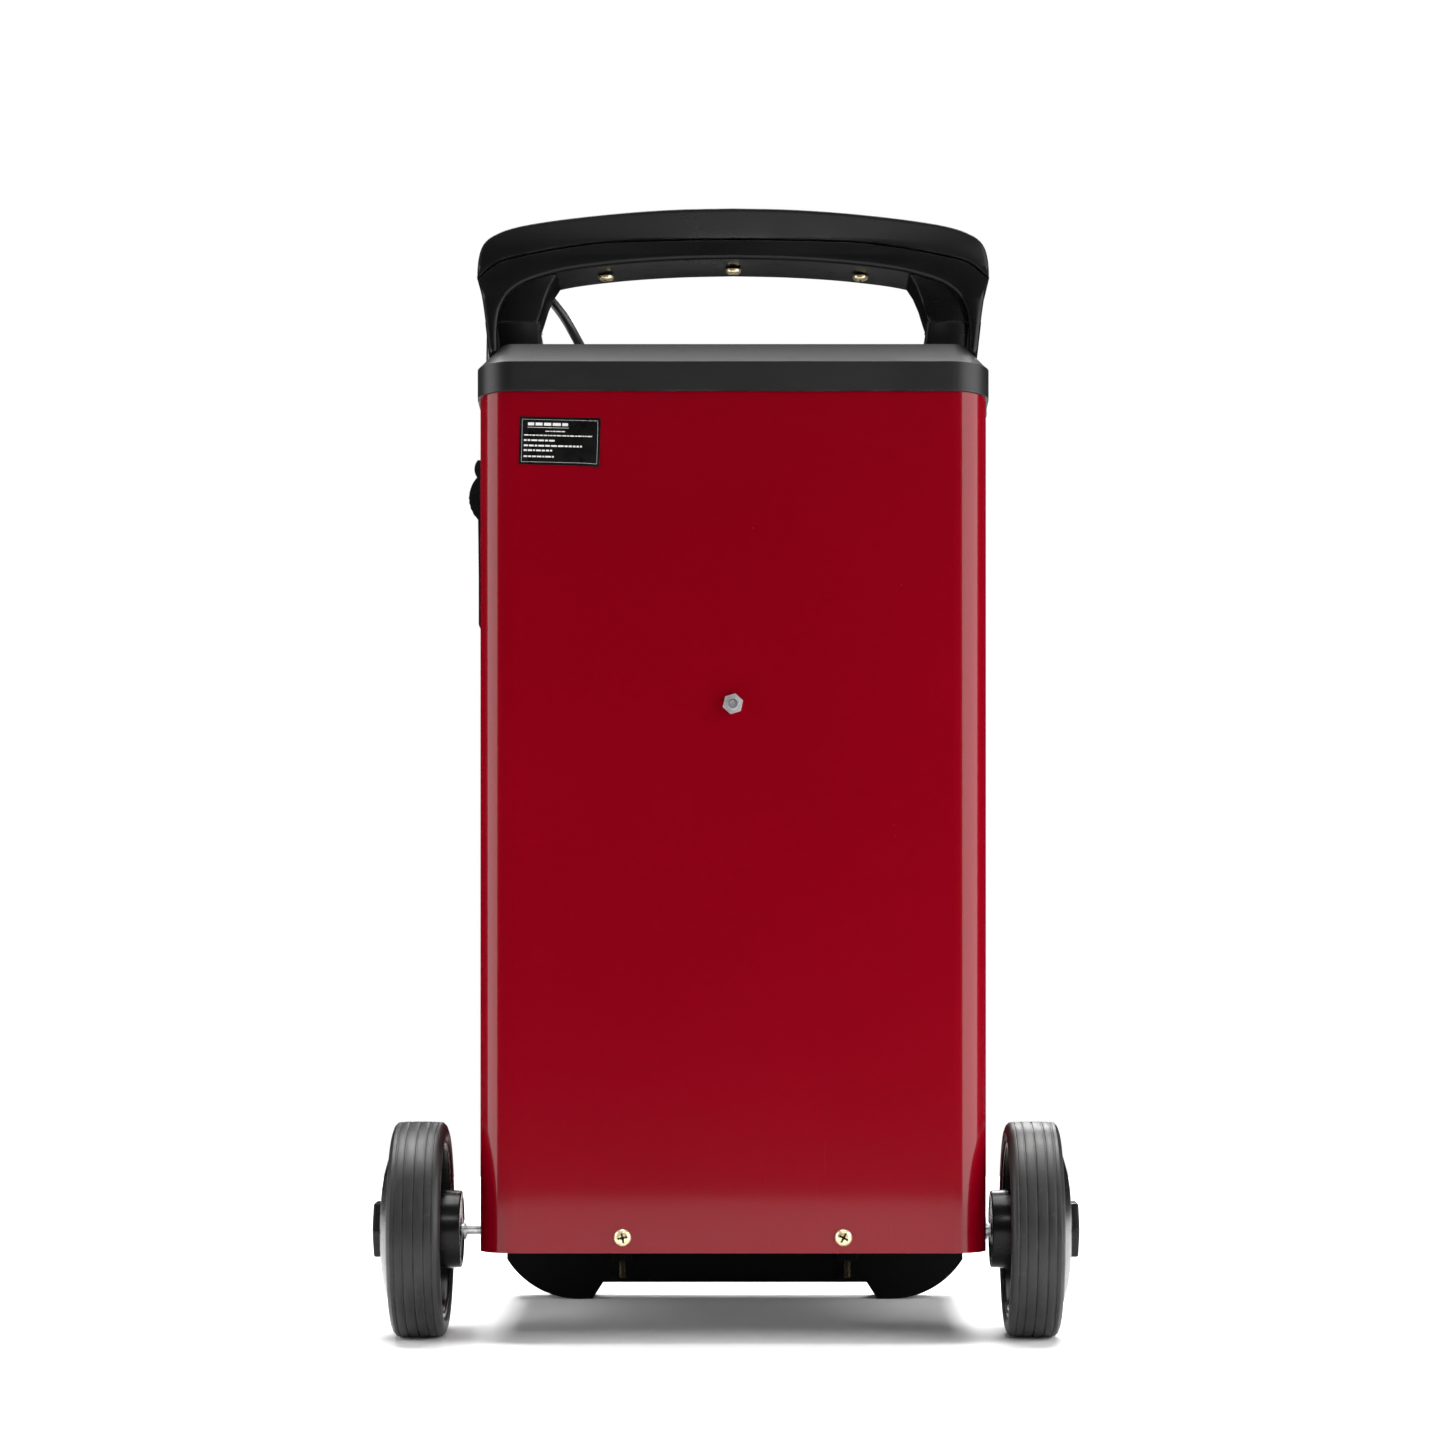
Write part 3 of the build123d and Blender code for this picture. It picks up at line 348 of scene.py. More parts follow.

# the base moulding takes the darker copy of the black plastic, with painted shade in its colour
OTHER_FINISH = {"lid": "lid_plastic", "base_moulding": "shaded_base_plastic", "clamp_rest": "dull_zinc"}
slots = {entry["node"]: entry["material_slot"] for entry in frame["record"]["subparts"]}
for node, obj in NODES.items():
    obj.data.materials.clear()
    obj.data.materials.append(MAT[OTHER_FINISH.get(node, slots[node])])


# --- the battery lead: one cord from the front outlet, through the put-away coil, to the clamp ---

CORD_D = 5.4 * MM
TAIL = [                   # from the outlet to the floor and the coil
    (-0.104, 0.166, 0.096), (-0.104, 0.181, 0.0955), (-0.1039, 0.195, 0.0845), (-0.1036, 0.2035, 0.067),
    (-0.1033, 0.207, 0.048), (-0.103, 0.2095, 0.029), (-0.1027, 0.216, 0.0125), (-0.1022, 0.229, 0.0034),
    (-0.1021, 0.243, 0.0027),
]
RUN = [                    # from the clamp over the handle and down the front to the coil
    (-0.142, 0.105, 0.511), (-0.142, 0.105, 0.526), (-0.1426, 0.097, 0.538), (-0.1425, 0.078, 0.5455),
    (-0.1415, 0.054, 0.550), (-0.140, 0.028, 0.5555), (-0.1382, 0.004, 0.564), (-0.1365, -0.017, 0.5755),
    (-0.1335, -0.038, 0.5885), (-0.125, -0.0555, 0.5955), (-0.1075, -0.064, 0.5922), (-0.0938, -0.062, 0.5785),
    (-0.0832, -0.050, 0.5597), (-0.076, -0.032, 0.5462), (-0.0735, -0.008, 0.5416), (-0.073, 0.018, 0.5372),
    (-0.0735, 0.046, 0.5332), (-0.075, 0.076, 0.5292), (-0.078, 0.104, 0.526), (-0.082, 0.128, 0.5225),
    (-0.0855, 0.146, 0.512), (-0.088, 0.1535, 0.493), (-0.0895, 0.156, 0.462), (-0.0906, 0.1575, 0.418),
    (-0.0917, 0.1586, 0.362), (-0.0926, 0.1595, 0.298), (-0.0934, 0.1601, 0.232), (-0.0939, 0.1609, 0.168),
    (-0.0942, 0.162, 0.108), (-0.0945, 0.1638, 0.068), (-0.0948, 0.167, 0.039), (-0.095, 0.174, 0.0175),
    (-0.0952, 0.187, 0.006), (-0.0945, 0.202, 0.0028), (-0.0905, 0.216, 0.0032), (-0.0825, 0.2270, 0.0062),
]
COIL_AT = (-0.071, 0.266)
COIL_START = 196.0         # degrees, where the tail joins the first turn
COIL_TURN = 1350.0         # degrees wound in all
COIL_STEP = 22.5           # degrees from one point to the next
COIL_SHAPE = [             # (degrees wound, radius, height of the middle) in mm
    (0, 32.5, 2.7), (330, 32.5, 2.7), (388, 27.1, 2.7), (655, 27.0, 2.7), (712, 27.1, 8.2),
    (980, 27.1, 8.2), (1042, 32.5, 8.2), (1290, 32.6, 8.2), (1350, 34.0, 7.6),
]


def eased(table, at):
    """Smoothly read a (place, value, value) table."""
    for (a, *low), (b, *high) in zip(table, table[1:]):
        if at <= b:
            t = (at - a) / (b - a)
            t = t * t * (3 - 2 * t)
            return [x + (y - x) * t for x, y in zip(low, high)]
    return list(table[-1][1:])


def coil_points():
    """The coil's turns, with 16 points to a turn."""
    made = []
    count = round(COIL_TURN / COIL_STEP)
    for step in range(count + 1):
        turned = COIL_TURN * step / count
        radius, height = eased(COIL_SHAPE, turned)
        loose = 0.25 * math.sin(math.radians(turned * 0.61))
        radius = (radius + loose) * MM / math.cos(math.radians(COIL_STEP / 2))
        angle = math.radians(COIL_START - turned)
        x, y = radius * math.cos(angle), radius * math.sin(angle)
        made.append((COIL_AT[0] + x, COIL_AT[1] + y, height * MM))
    return made


def add_cord():
    """The lead as one curve through the tail, the coil and the run."""
    points = TAIL + coil_points() + RUN[::-1]
    data = bpy.data.curves.new("battery_lead", "CURVE")
    data.dimensions = "3D"
    data.bevel_depth = CORD_D / 2
    data.bevel_resolution = 5
    data.resolution_u = 10
    data.use_fill_caps = True
    spline = data.splines.new("NURBS")
    spline.points.add(len(points) - 1)
    for target, point in zip(spline.points, points):
        target.co = (*point, 1)
    spline.order_u = 3
    spline.use_endpoint_u = True
    lead = bpy.data.objects.new("battery_lead", data)
    bpy.context.scene.collection.objects.link(lead)
    data.materials.append(MAT["lead_rubber"])
    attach(lead, ROOT)
    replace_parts(lead, "lead_tail", "lead_run", "lead_coil")
    return lead


LEAD = add_cord()


# --- mesh helpers ---

def put(bm, name, material, body=ROOT, smooth=35.0):
    """Turns a bmesh into a piece that rides on a body."""
    mesh = bpy.data.meshes.new(name)
    bmesh.ops.recalc_face_normals(bm, faces=bm.faces)
    bm.to_mesh(mesh)
    bm.free()
    piece = bpy.data.objects.new(name, mesh)
    bpy.context.scene.collection.objects.link(piece)
    mesh.materials.append(MAT[material])
    for polygon in mesh.polygons:
        polygon.use_smooth = True
    mesh.set_sharp_from_angle(angle=math.radians(smooth))
    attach(piece, body)
    return piece


def join(parts, name):
    """One piece out of several with the same material and body."""
    bm = bmesh.new()
    for part in parts:
        bm.from_mesh(part.data)
    bm.to_mesh(parts[0].data)
    bm.free()
    for part in parts[1:]:
        bpy.data.objects.remove(part)
    parts[0].name = name
    return parts[0]


def bevel(piece, width, angle=30.0):
    """Rounds the sharp edges of a piece; width is in metres."""
    made = piece.modifiers.new("bevel", "BEVEL")
    made.width = width
    made.segments = 2
    made.limit_method = "ANGLE"
    made.angle_limit = math.radians(angle)
    made.harden_normals = False
    return piece


def centre(node):
    """Middle of a node's box, in metres."""
    low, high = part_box(node)
    return (Vector(low) + Vector(high)) / 2


def skin(bm, rings, loop=False, caps=True):
    """Faces from each ring of vertices to the next, with two caps, or closed into a loop."""
    for one, two in zip(rings, rings[1:] + (rings[:1] if loop else [])):
        count = len(one)
        for k in range(count):
            bm.faces.new((one[k], one[(k + 1) % count], two[(k + 1) % count], two[k]))
    if caps and not loop:
        bm.faces.new(rings[0][::-1])
        bm.faces.new(rings[-1])


def hexagon(turn, flat):
    """How far a hexagon's edge is from its middle at an angle; flat is half its width across flats."""
    away = (turn + math.pi / 6) % (math.pi / 3) - math.pi / 6
    return flat / math.cos(away)


def lathe(profile, steps, axis, origin, closed=False):
    """Turns (along, radius) points in mm about an axis through origin (in metres)."""
    bm = bmesh.new()
    rings = []
    for along, radius in profile:
        ring = []
        for k in range(steps):
            a = math.tau * k / steps
            c, s = radius * math.cos(a) * MM, radius * math.sin(a) * MM
            w = along * MM
            point = {"X": (w, c, s), "Y": (c, w, s)}[axis]
            ring.append(bm.verts.new([p + o for p, o in zip(point, origin)]))
        rings.append(ring)
    skin(bm, rings, loop=closed)
    return bm


def rounded(points, radius, steps):
    """Rounds the inner corners of an open line of (a, b) points."""
    made = [points[0]]
    for before, at, after in zip(points, points[1:], points[2:]):
        p0, p1, p2 = Vector(before), Vector(at), Vector(after)
        reach = min(radius, 0.45 * (p1 - p0).length, 0.45 * (p2 - p1).length)
        start, end = p1 + (p0 - p1).normalized() * reach, p1 + (p2 - p1).normalized() * reach
        for k in range(steps + 1):
            t = k / steps
            made.append(tuple((1 - t) ** 2 * start + 2 * t * (1 - t) * p1 + t * t * end))
    made.append(points[-1])
    return made


def prism(outline, low, high):
    """Straight block along Y from a closed outline of (x, z) points in mm."""
    bm = bmesh.new()
    back, front = ([bm.verts.new((x * MM, y * MM, z * MM)) for x, z in outline] for y in (low, high))
    skin(bm, [back, front], caps=False)
    bm.faces.new(back)
    bm.faces.new(front[::-1])
    return bm


def block(bm, middle, size, turn=Matrix()):
    """Box from its middle and size in mm, turned about its middle."""
    scale = Matrix.Diagonal((*(Vector(size) * MM), 1))
    bmesh.ops.create_cube(bm, size=1, matrix=Matrix.Translation(Vector(middle) * MM) @ turn @ scale)


# --- small hardware ---

# Outline of a pan head as (share of its radius, share of its height), and its cross recess.
HEAD = [
    (0.985, -0.05), (1.0, 0.06), (1.0, 0.26), (0.985, 0.42), (0.94, 0.58), (0.86, 0.73), (0.75, 0.85),
    (0.62, 0.93), (0.50, 0.975), (0.40, 0.99), (0.30, 1.0), (0.20, 1.0), (0.10, 1.0),
]
CROSS_HALF, CROSS_REACH, CROSS_DEPTH = 0.105, 0.56, 0.62


def pan_head(name, radius, height, material, placed):
    """Pan-head screw with a cross recess cut into it, carried to its place by a matrix."""
    bm = bmesh.new()
    rings, steps = [], 48
    for r, h in HEAD:
        ring = []
        for k in range(steps):
            a = math.tau * k / steps
            x, y = r * math.cos(a), r * math.sin(a)
            near, far = sorted((abs(x), abs(y)))
            cross = near < CROSS_HALF * (1.0 - 0.2 * r) and far < CROSS_REACH
            depth = CROSS_DEPTH * (1 - 0.9 * r) if cross else 0.0
            wander = 0.004 * math.sin(3 * a + r * 5)
            ring.append(bm.verts.new((x * radius, y * radius, (h - depth + wander) * height)))
        rings.append(ring)
    skin(bm, rings)
    bm.transform(placed)
    return put(bm, name, material, ROOT, 28)


def screw_row(node, places, direction, radius, height, material, turns):
    """Detailed heads in place of a node of several screws, and a dark cross in each recess as painted shade."""
    heads, shade_crosses = [], bmesh.new()
    for index, place in enumerate(places):
        out = Vector(direction(place)).to_track_quat("Z", "Y").to_matrix().to_4x4()
        turned = Matrix.Rotation(math.radians(turns[index]), 4, "Z")
        placed = Matrix.Translation(place) @ out @ turned
        heads.append(pan_head(f"{node}_{index}", radius, height, material, placed))
        # a dark box cross fills each head's recess as painted shade
        top = Matrix.Translation((0, 0, 0.88 * height))
        for long, wide in ((1.05, 0.24), (0.24, 1.05)):
            size = Matrix.Diagonal((long * radius, wide * radius, 0.18 * height, 1))
            bmesh.ops.create_cube(shade_crosses, size=1, matrix=placed @ top @ size)
    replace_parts(join(heads, node + "_detail"), node)
    put(shade_crosses, node + "_recess_shade", "recess")


def rear_screw_heads():
    """Two heads low on the cabinet's back."""
    low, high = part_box("rear_screws")
    radius = 4.75 * MM
    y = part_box("cabinet")[0][1]
    z = (low[2] + high[2]) / 2
    places = [(low[0] + radius, y, z), (high[0] - radius, y, z)]
    screw_row("rear_screws", places, lambda place: (0, -1, 0), radius, 2.9 * MM, "yellow_zinc", (12, -28))


def handle_screw_heads():
    """Three heads under the handle; the middle one sits higher, as the handle is arched."""
    low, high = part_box("handle_screws")
    radius = 4.4 * MM
    x, y = (low[0] + high[0]) / 2, (low[1] + high[1]) / 2
    reach = (high[0] - low[0]) / 2 - radius
    side_z, middle_z = low[2] + 2.9 * MM, low[2] + 6.55 * MM
    places = [(x - reach, y, side_z), (x, y, middle_z), (x + reach, y, side_z)]
    screw_row("handle_screws", places, lambda place: (0, 0, -1), radius, 2.8 * MM, "yellow_zinc", (20, -35, 5))


def side_heads(node, sites, radius, height):
    """Heads on both sides of the cabinet, at (y, z) sites."""
    low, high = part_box(node)
    places = [(x, y, z) for x in (low[0] + height, high[0] - height) for y, z in sites]
    screw_row(node, places, lambda place: (math.copysign(1, place[0]), 0, 0), radius, height,
              "dull_zinc", (8, 51, -22, 33))


def rear_nut():
    """Hexagon nut with both faces chamfered."""
    low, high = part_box("rear_nut")
    at = centre("rear_nut")
    thick = (high[1] - low[1]) / MM
    flat, steps, turned = 5.0, 72, 0.30
    angles = [math.tau * k / steps for k in range(steps)]
    outside = ((0.0, 0.93), (0.35, 1.0), (thick - 0.35, 1.0), (thick, 0.93))
    bore = ((thick, 3.35), (thick - 0.35, 3.0), (0.0, 3.0))
    rows = [(along, [min(hexagon(a, flat), flat * 1.155 * part) for a in angles]) for along, part in outside]
    rows += [(along, [r] * steps) for along, r in bore]
    bm = bmesh.new()
    rings = []
    for along, radii in rows:
        points = [(r * math.sin(a - turned), -along, r * math.cos(a - turned)) for a, r in zip(angles, radii)]
        rings.append([bm.verts.new(Vector(point) * MM) for point in points])
    skin(bm, rings, loop=True)
    bm.transform(Matrix.Translation((at.x, high[1], at.z)))
    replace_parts(put(bm, "rear_nut_detail", "zinc_steel", ROOT, 25), "rear_nut")


def rear_bolt():
    """Threaded end of the bolt in the nut, with a hollow in it. It lies over the plain bolt."""
    at = centre("rear_nut")
    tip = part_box("rear_bolt")[0][1]
    length, per_mm = 6.5, 14
    profile = [(3.4, 0.01), (2.6, 1.3), (0.2, 1.5), (0.0, 1.75), (0.0, 2.45)]
    for k in range(int(length * per_mm) + 1):
        along = k / per_mm
        profile.append((0.35 + along, min(2.86 + 0.14 * math.cos(math.tau * along), 2.5 + 1.2 * along)))
    bm = lathe(profile, 64, "Y", (at.x, tip, at.z))
    for vertex in bm.verts:
        dx, dz = vertex.co.x - at.x, vertex.co.z - at.z
        r = math.hypot(dx, dz)
        if r > 2.6 * MM:
            turn = math.atan2(dz, dx) / math.tau
            along = (vertex.co.y - tip) / MM
            want = (2.88 + 0.13 * math.cos(math.tau * (along + turn))) * MM
            vertex.co.x, vertex.co.z = at.x + dx * want / r, at.z + dz * want / r
    put(bm, "rear_bolt_detail", "zinc_steel", ROOT, 40)


def base_screw_threads():
    """Long threaded ends that hang below the cabinet, with a fine helix."""
    low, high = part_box("base_screws")
    y = (low[1] + high[1]) / 2
    bottom, top = low[2], 49.0 * MM
    steps, pitch, rise = 28, 1.25 * MM, 0.1 * MM
    parts = []
    for x in (low[0] + 4.6 * MM, high[0] - 4.6 * MM):
        bm = bmesh.new()
        rings = []
        for row in range(int((top - bottom) / rise) + 1):
            z = bottom + row * rise
            ring = []
            for k in range(steps):
                a = math.tau * k / steps
                phase = ((z - bottom) / pitch - k / steps) % 1.0
                r = (2.12 + 0.36 * (1 - abs(2 * phase - 1))) * MM
                r = min(r, (1.5 + (z - bottom) / MM * 0.9) * MM)
                ring.append(bm.verts.new((x + r * math.cos(a), y + r * math.sin(a), z)))
            rings.append(ring)
        skin(bm, rings)
        # the thread ends take the near-black brass, whose colour is painted shade for the shadow under the
        # cabinet
        parts.append(put(bm, f"base_thread_{len(parts)}", "shaded_thread_brass", ROOT, 50))
    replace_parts(join(parts, "base_screws_detail"), "base_screws")


def lid_screw_z(y):
    """Height of a lid screw: the lid's rim falls by 8 degrees to the front."""
    return 0.5317 - math.tan(math.radians(8)) * (y + 0.137)


rear_screw_heads()
handle_screw_heads()
side_heads("side_screws", [(0.112, 0.082), (0.112, 0.262)], 4.0 * MM, 2.2 * MM)
side_heads("lid_screws", [(y, lid_screw_z(y)) for y in (-0.060, 0.070)], 3.6 * MM, 2.0 * MM)
rear_nut()
rear_bolt()
base_screw_threads()


# --- handle ---

HANDLE_X = centre("handle_upper").x / MM
FALL = math.tan(math.radians(5.5))     # the handle falls towards the front
UPPER_BACK, UPPER_DEPTH = -122.0, 46.0
BELT_BACK, BELT_DEPTH = -120.2, 42.4
HALF_POINTS = 90           # along half of each line


def smooth_line(keys, steps):
    """Catmull-Rom line through (x, z) keys."""
    pts = [Vector(k) for k in keys]
    pts = [2 * pts[0] - pts[1]] + pts + [2 * pts[-1] - pts[-2]]
    made = []
    for p0, p1, p2, p3 in zip(pts, pts[1:], pts[2:], pts[3:]):
        for k in range(steps):
            t = k / steps
            point = 0.5 * ((2 * p1) + (p2 - p0) * t + (2 * p0 - 5 * p1 + 4 * p2 - p3) * t * t
                           + (3 * p1 - p0 - 3 * p2 + p3) * t ** 3)
            made.append(tuple(point))
    made.append(tuple(pts[-2]))
    return made


def mirrored(half):
    """A line from the middle out, made into a whole line from left to right."""
    return [(-x, z) for x, z in reversed(half)] + [(x, z) for x, z in half if x > 0.01]


# Half lines of the handle seen from behind, from the middle out: crown, seam and lower edge of the belt.
TOP_HALF = smooth_line([
    (0, 626.8), (30, 626.2), (60, 624.3), (90, 621.2), (112, 618.0), (124, 615.2), (131, 612.4), (135.8, 609.4),
    (139.0, 605.2), (140.7, 599.5), (141.4, 593.5), (141.5, 587.8),
], 5)
SEAM_HALF = smooth_line([
    (0, 609.6), (30, 609.3), (67, 608.2), (90, 605.6), (110, 602.0), (126, 598.4), (134, 594.4), (141.5, 587.6),
], 5)
BELT_HALF = smooth_line([
    (0, 598.9), (30, 598.2), (60, 596.3), (88, 593.0), (104, 589.4), (116, 585.2), (124, 579.6), (128.2, 573.0),
    (130.0, 566.0), (130.6, 558.0), (130.4, 550.0), (130.2, 546.5),
], 6)
BELT_HALF += [(132.6, 545.6), (134.8, 546.2)]
BELT_HALF += smooth_line([
    (135.4, 549.0), (136.4, 558.0), (137.6, 568.0), (138.9, 577.0), (140.3, 583.5), (141.1, 587.2),
], 4)
POST_SECTIONS = [          # height, inner x, outer x, back y, front y
    (538.0, 105.0, 134.9, -115.0, -83.5), (552.0, 106.2, 136.0, -115.0, -83.5),
    (563.9, 107.6, 137.3, -115.0, -83.5), (564.1, 107.2, 136.9, -114.6, -83.9),
    (564.6, 107.2, 136.9, -114.6, -83.9), (564.8, 107.7, 137.4, -115.0, -83.0),
    (570.5, 105.8, 138.0, -115.0, -83.2), (577.0, 103.8, 138.6, -115.2, -83.4),
    (584.0, 100.8, 139.4, -116.0, -83.0), (590.0, 97.0, 139.6, -117.0, -82.4),
]


def loft(name, layers):
    """Skins a row of closed outlines: each layer is (y, [(x, z)]) in mm, first and last are capped."""
    bm = bmesh.new()
    rows = [[bm.verts.new((x * MM, y * MM, z * MM)) for x, z in outline] for y, outline in layers]
    skin(bm, rows, caps=False)
    for row in (rows[0], rows[-1]):
        flat = [Vector((vertex.co.x, vertex.co.z, 0)) for vertex in row]
        for triangle in tessellate_polygon([flat]):
            bm.faces.new([row[k] for k in triangle])
    return put(bm, name, "black_plastic", ROOT, 32)


def spaced(line, count):
    """The same line as evenly spaced points."""
    reach = [0.0]
    for one, two in zip(line, line[1:]):
        reach.append(reach[-1] + math.dist(one, two))
    made, k = [], 0
    for step in range(count):
        want = reach[-1] * step / (count - 1)
        while k < len(reach) - 2 and reach[k + 1] < want:
            k += 1
        t = (want - reach[k]) / max(reach[k + 1] - reach[k], 1e-9)
        made.append(tuple(a + (b - a) * t for a, b in zip(line[k], line[k + 1])))
    return made


def inset(line, amount):
    """The line moved to its left by this much, less towards its two ends."""
    made = []
    for k, (x, z) in enumerate(line):
        before, after = Vector(line[max(k - 1, 0)]), Vector(line[min(k + 1, len(line) - 1)])
        along = (after - before).normalized()
        ease = min(1.0, min(k, len(line) - 1 - k) / 5)
        made.append((x - along.y * amount * ease, z + along.x * amount * ease))
    return made


def handle_band(name, upper, lower, y0, depth, edge_top, edge_low):
    """Band between two lines, with soft edges at the back and front; edge_top is (inwards, across)."""
    top, low = (mirrored(spaced(half, HALF_POINTS)) for half in (upper, lower))
    soft = [(t, 1 - math.sqrt(1 - (1 - t) ** 2)) for t in (0.0, 0.3, 0.6, 0.85, 1.0)]
    rows = [(y0 + edge_top[0] * t, k) for t, k in soft]
    rows += [(y0 + depth - edge_top[0] * t, k) for t, k in reversed(soft)]
    layers = []
    for y, k in rows:
        outline = inset(top, -edge_top[1] * k) + inset(low, edge_low * k)[::-1]
        layers.append((y, [(HANDLE_X + x, z - FALL * (y - y0)) for x, z in outline]))
    return loft(name, layers)


def post_ring(z, inner, outer, back, front):
    """One level section of a post, with a wide cut on its outer corners and small ones inside."""
    cut, soft = 7.5, 2.2
    ring = [
        (inner + soft, back), (outer - cut, back), (outer - cut * 0.62, back + cut * 0.22),
        (outer - cut * 0.2, back + cut * 0.75), (outer, back + cut * 1.5), (outer, front - cut),
        (outer - cut * 0.3, front - cut * 0.3), (outer - cut, front), (inner + soft, front),
        (inner + 0.3 * soft, front - 0.3 * soft), (inner, front - soft), (inner, back + soft),
        (inner + 0.3 * soft, back + 0.3 * soft),
    ]
    tilt = FALL * max(0.0, min(1.0, (z - 552) / 12))
    return [(x, y, z - tilt * (y + 115)) for x, y in ring]


def build_handle():
    """Top shell, belt under it, and the two posts that stand on the lid."""
    upper = handle_band("handle_top_shell", TOP_HALF, SEAM_HALF, UPPER_BACK, UPPER_DEPTH, (2.8, 2.6), 0.35)
    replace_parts(upper, "handle_upper")
    seam = [(x - (0.4 if x > 130 else 0), z - 0.45) for x, z in SEAM_HALF]
    belt = handle_band("handle_belt", seam, BELT_HALF, BELT_BACK, BELT_DEPTH, (3.0, 0.4), 2.2)
    for side, name in ((-1, "left"), (1, "right")):
        bm = bmesh.new()
        rings = []
        for section in POST_SECTIONS:
            points = [((HANDLE_X + side * x) * MM, y * MM, z * MM) for x, y, z in post_ring(*section)]
            rings.append([bm.verts.new(point) for point in points])
        skin(bm, rings)
        bevel(put(bm, "handle_post_" + name, "black_plastic", ROOT, 42), 0.5 * MM, 50)
    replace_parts(belt, "handle_lower")


build_handle()


# --- wheels ---

def across_x(node):
    """Distances from the middle plane to a node's inner and outer end, in mm."""
    low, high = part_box(node)
    return sorted((abs(low[0]) / MM, abs(high[0]) / MM))


def tyre_profile(inner, outer, r):
    """Tyre section: beads, walls and a crown with five grooves."""
    profile = [(inner + 2.0, 50.2), (inner + 0.6, 51.2), (inner, 53.0), (inner + 0.05, 55.6),
               (inner + 0.9, 58.0), (inner + 2.4, r - 0.55)]
    grooves = ((4.4, 0.55), (8.6, 0.7), (14.2, 0.8), (20.0, 0.6), (24.8, 0.4))
    for across, depth in grooves:
        x = inner + across
        crown = r - 0.0022 * (x - (inner + outer) / 2) ** 2
        profile += [(x - 0.75, crown), (x - 0.4, crown - 0.12), (x - 0.22, crown - depth),
                    (x + 0.22, crown - depth), (x + 0.4, crown - 0.12), (x + 0.75, crown)]
        if x < outer - 6:
            profile += [(x + 2.1, crown + 0.02)]
    profile += [(outer - 2.4, r - 0.5), (outer - 0.9, r - 2.0), (outer - 0.05, r - 4.4), (outer, 53.0),
                (outer - 0.6, 51.2), (outer - 2.0, 50.2)]
    return [(x, min(q, r - 0.01)) for x, q in profile]


def hub_profile(inner, outer):
    """Hub section: boss, dished web, rim seat and domed outer face."""
    return rounded([
        (inner + 0.4, 3.06), (inner, 3.5), (inner, 5.4), (inner + 0.5, 5.8), (inner + 0.5, 17.4),
        (inner, 17.9), (inner, 21.0), (inner + 0.5, 21.5), (158.0, 22.0), (176.0, 22.4), (181.0, 23.4),
        (184.6, 27.0), (184.0, 36.0), (180.6, 42.0), (178.5, 44.8), (170.0, 46.0), (158.6, 46.6), (157.3, 47.2),
        (157.2, 49.4), (158.0, 50.0), (170.0, 50.0), (184.4, 50.0), (185.4, 49.2), (186.6, 45.4), (188.4, 39.5),
        (190.2, 33.2), (191.2, 27.6),
        (outer, 24.6), (outer, 19.2), (outer - 0.4, 18.4), (outer - 1.0, 17.9), (outer - 1.0, 3.06),
    ], 0.8, 2)


def hub_cap(side, origin, name, body):
    """Cap with a hexagonal skirt round a dished disc."""
    inner, outer = across_x("hub_cap_" + name)
    across, steps = 17.4, 96
    rows = [            # x, size, and how far from a hexagon towards a circle
        (inner, 1.0, 0), (outer - 1.1, 1.0, 0), (outer - 0.35, 0.975, 0), (outer - 0.05, 0.93, 0),
        (outer - 0.05, 0.86, 0), (outer - 0.75, 0.82, 0.4), (outer - 0.75, 0.55, 1), (outer - 0.4, 0.30, 1),
        (outer - 0.35, 0.05, 1),
    ]
    bm = bmesh.new()
    rings = []
    for x, size, circle in rows:
        ring = []
        for step in range(steps):
            a = math.tau * step / steps
            hexed = min(hexagon(a, across * math.cos(math.pi / 6)), across * 0.985)
            q = size * (hexed * (1 - circle) + across * 0.87 * circle)
            y, z = origin[1] + q * math.sin(a) * MM, origin[2] + q * math.cos(a) * MM
            ring.append(bm.verts.new((side * x * MM, y, z)))
        rings.append(ring)
    skin(bm, rings)
    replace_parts(put(bm, "hub_cap_detail_" + name, "hub_plastic", body, 28), "hub_cap_" + name)


def wheel(side, name):
    """Tyre, hub with ribs, and cap of one wheel; side is -1 on the left and 1 on the right."""
    body = "wheel_" + name
    low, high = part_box("tyre_" + name)
    radius = (high[2] - low[2]) / 2 / MM
    middle = centre("tyre_" + name)
    origin = (0, middle.y, middle.z)
    profile = [(side * x, q) for x, q in tyre_profile(*across_x("tyre_" + name), radius)]
    tyre = put(lathe(profile, 180, "X", origin, closed=True), "tyre_detail_" + name, "tyre_rubber", body, 30)
    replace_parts(tyre, "tyre_" + name)
    profile = [(side * x, q) for x, q in hub_profile(*across_x("hub_" + name))]
    hub = put(lathe(profile, 120, "X", origin, closed=True), "hub_detail_" + name, "hub_plastic", body, 30)
    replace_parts(hub, "hub_" + name)
    ribs = []
    for k in range(6):
        outline = ((159.5, 21.0), (183.0, 21.0), (182.5, 38.0), (177.0, 46.5), (163.0, 46.5))
        bm = prism([(side * x, z) for x, z in outline], -1.1, 1.1)
        bm.transform(Matrix.Translation(origin) @ Matrix.Rotation(math.tau * k / 6 + 0.26, 4, "X"))
        ribs.append(put(bm, f"rib_{name}_{k}", "hub_plastic", body, 30))
    bevel(join(ribs, "hub_ribs_" + name), 0.4 * MM)
    hub_cap(side, origin, name, body)


wheel(-1, "left")
wheel(1, "right")


# --- label on the back ---

LABEL_HALF = (22.3, 13.2)              # half its width and height, in mm
LABEL_TILT = math.radians(-1.4)
LABEL_ROWS = [             # height of a row of marks, its size, and where it starts and ends across
    (8.1, 2.1, -17.6, 4.4), (5.0, 0.65, -8.0, 3.5), (2.6, 0.8, -19.6, 18.0), (-0.4, 1.2, -19.6, -2.8),
    (-3.3, 1.2, -19.6, 13.2), (-5.9, 1.2, -19.6, -4.0), (-9.2, 1.1, -19.6, -2.6),
]


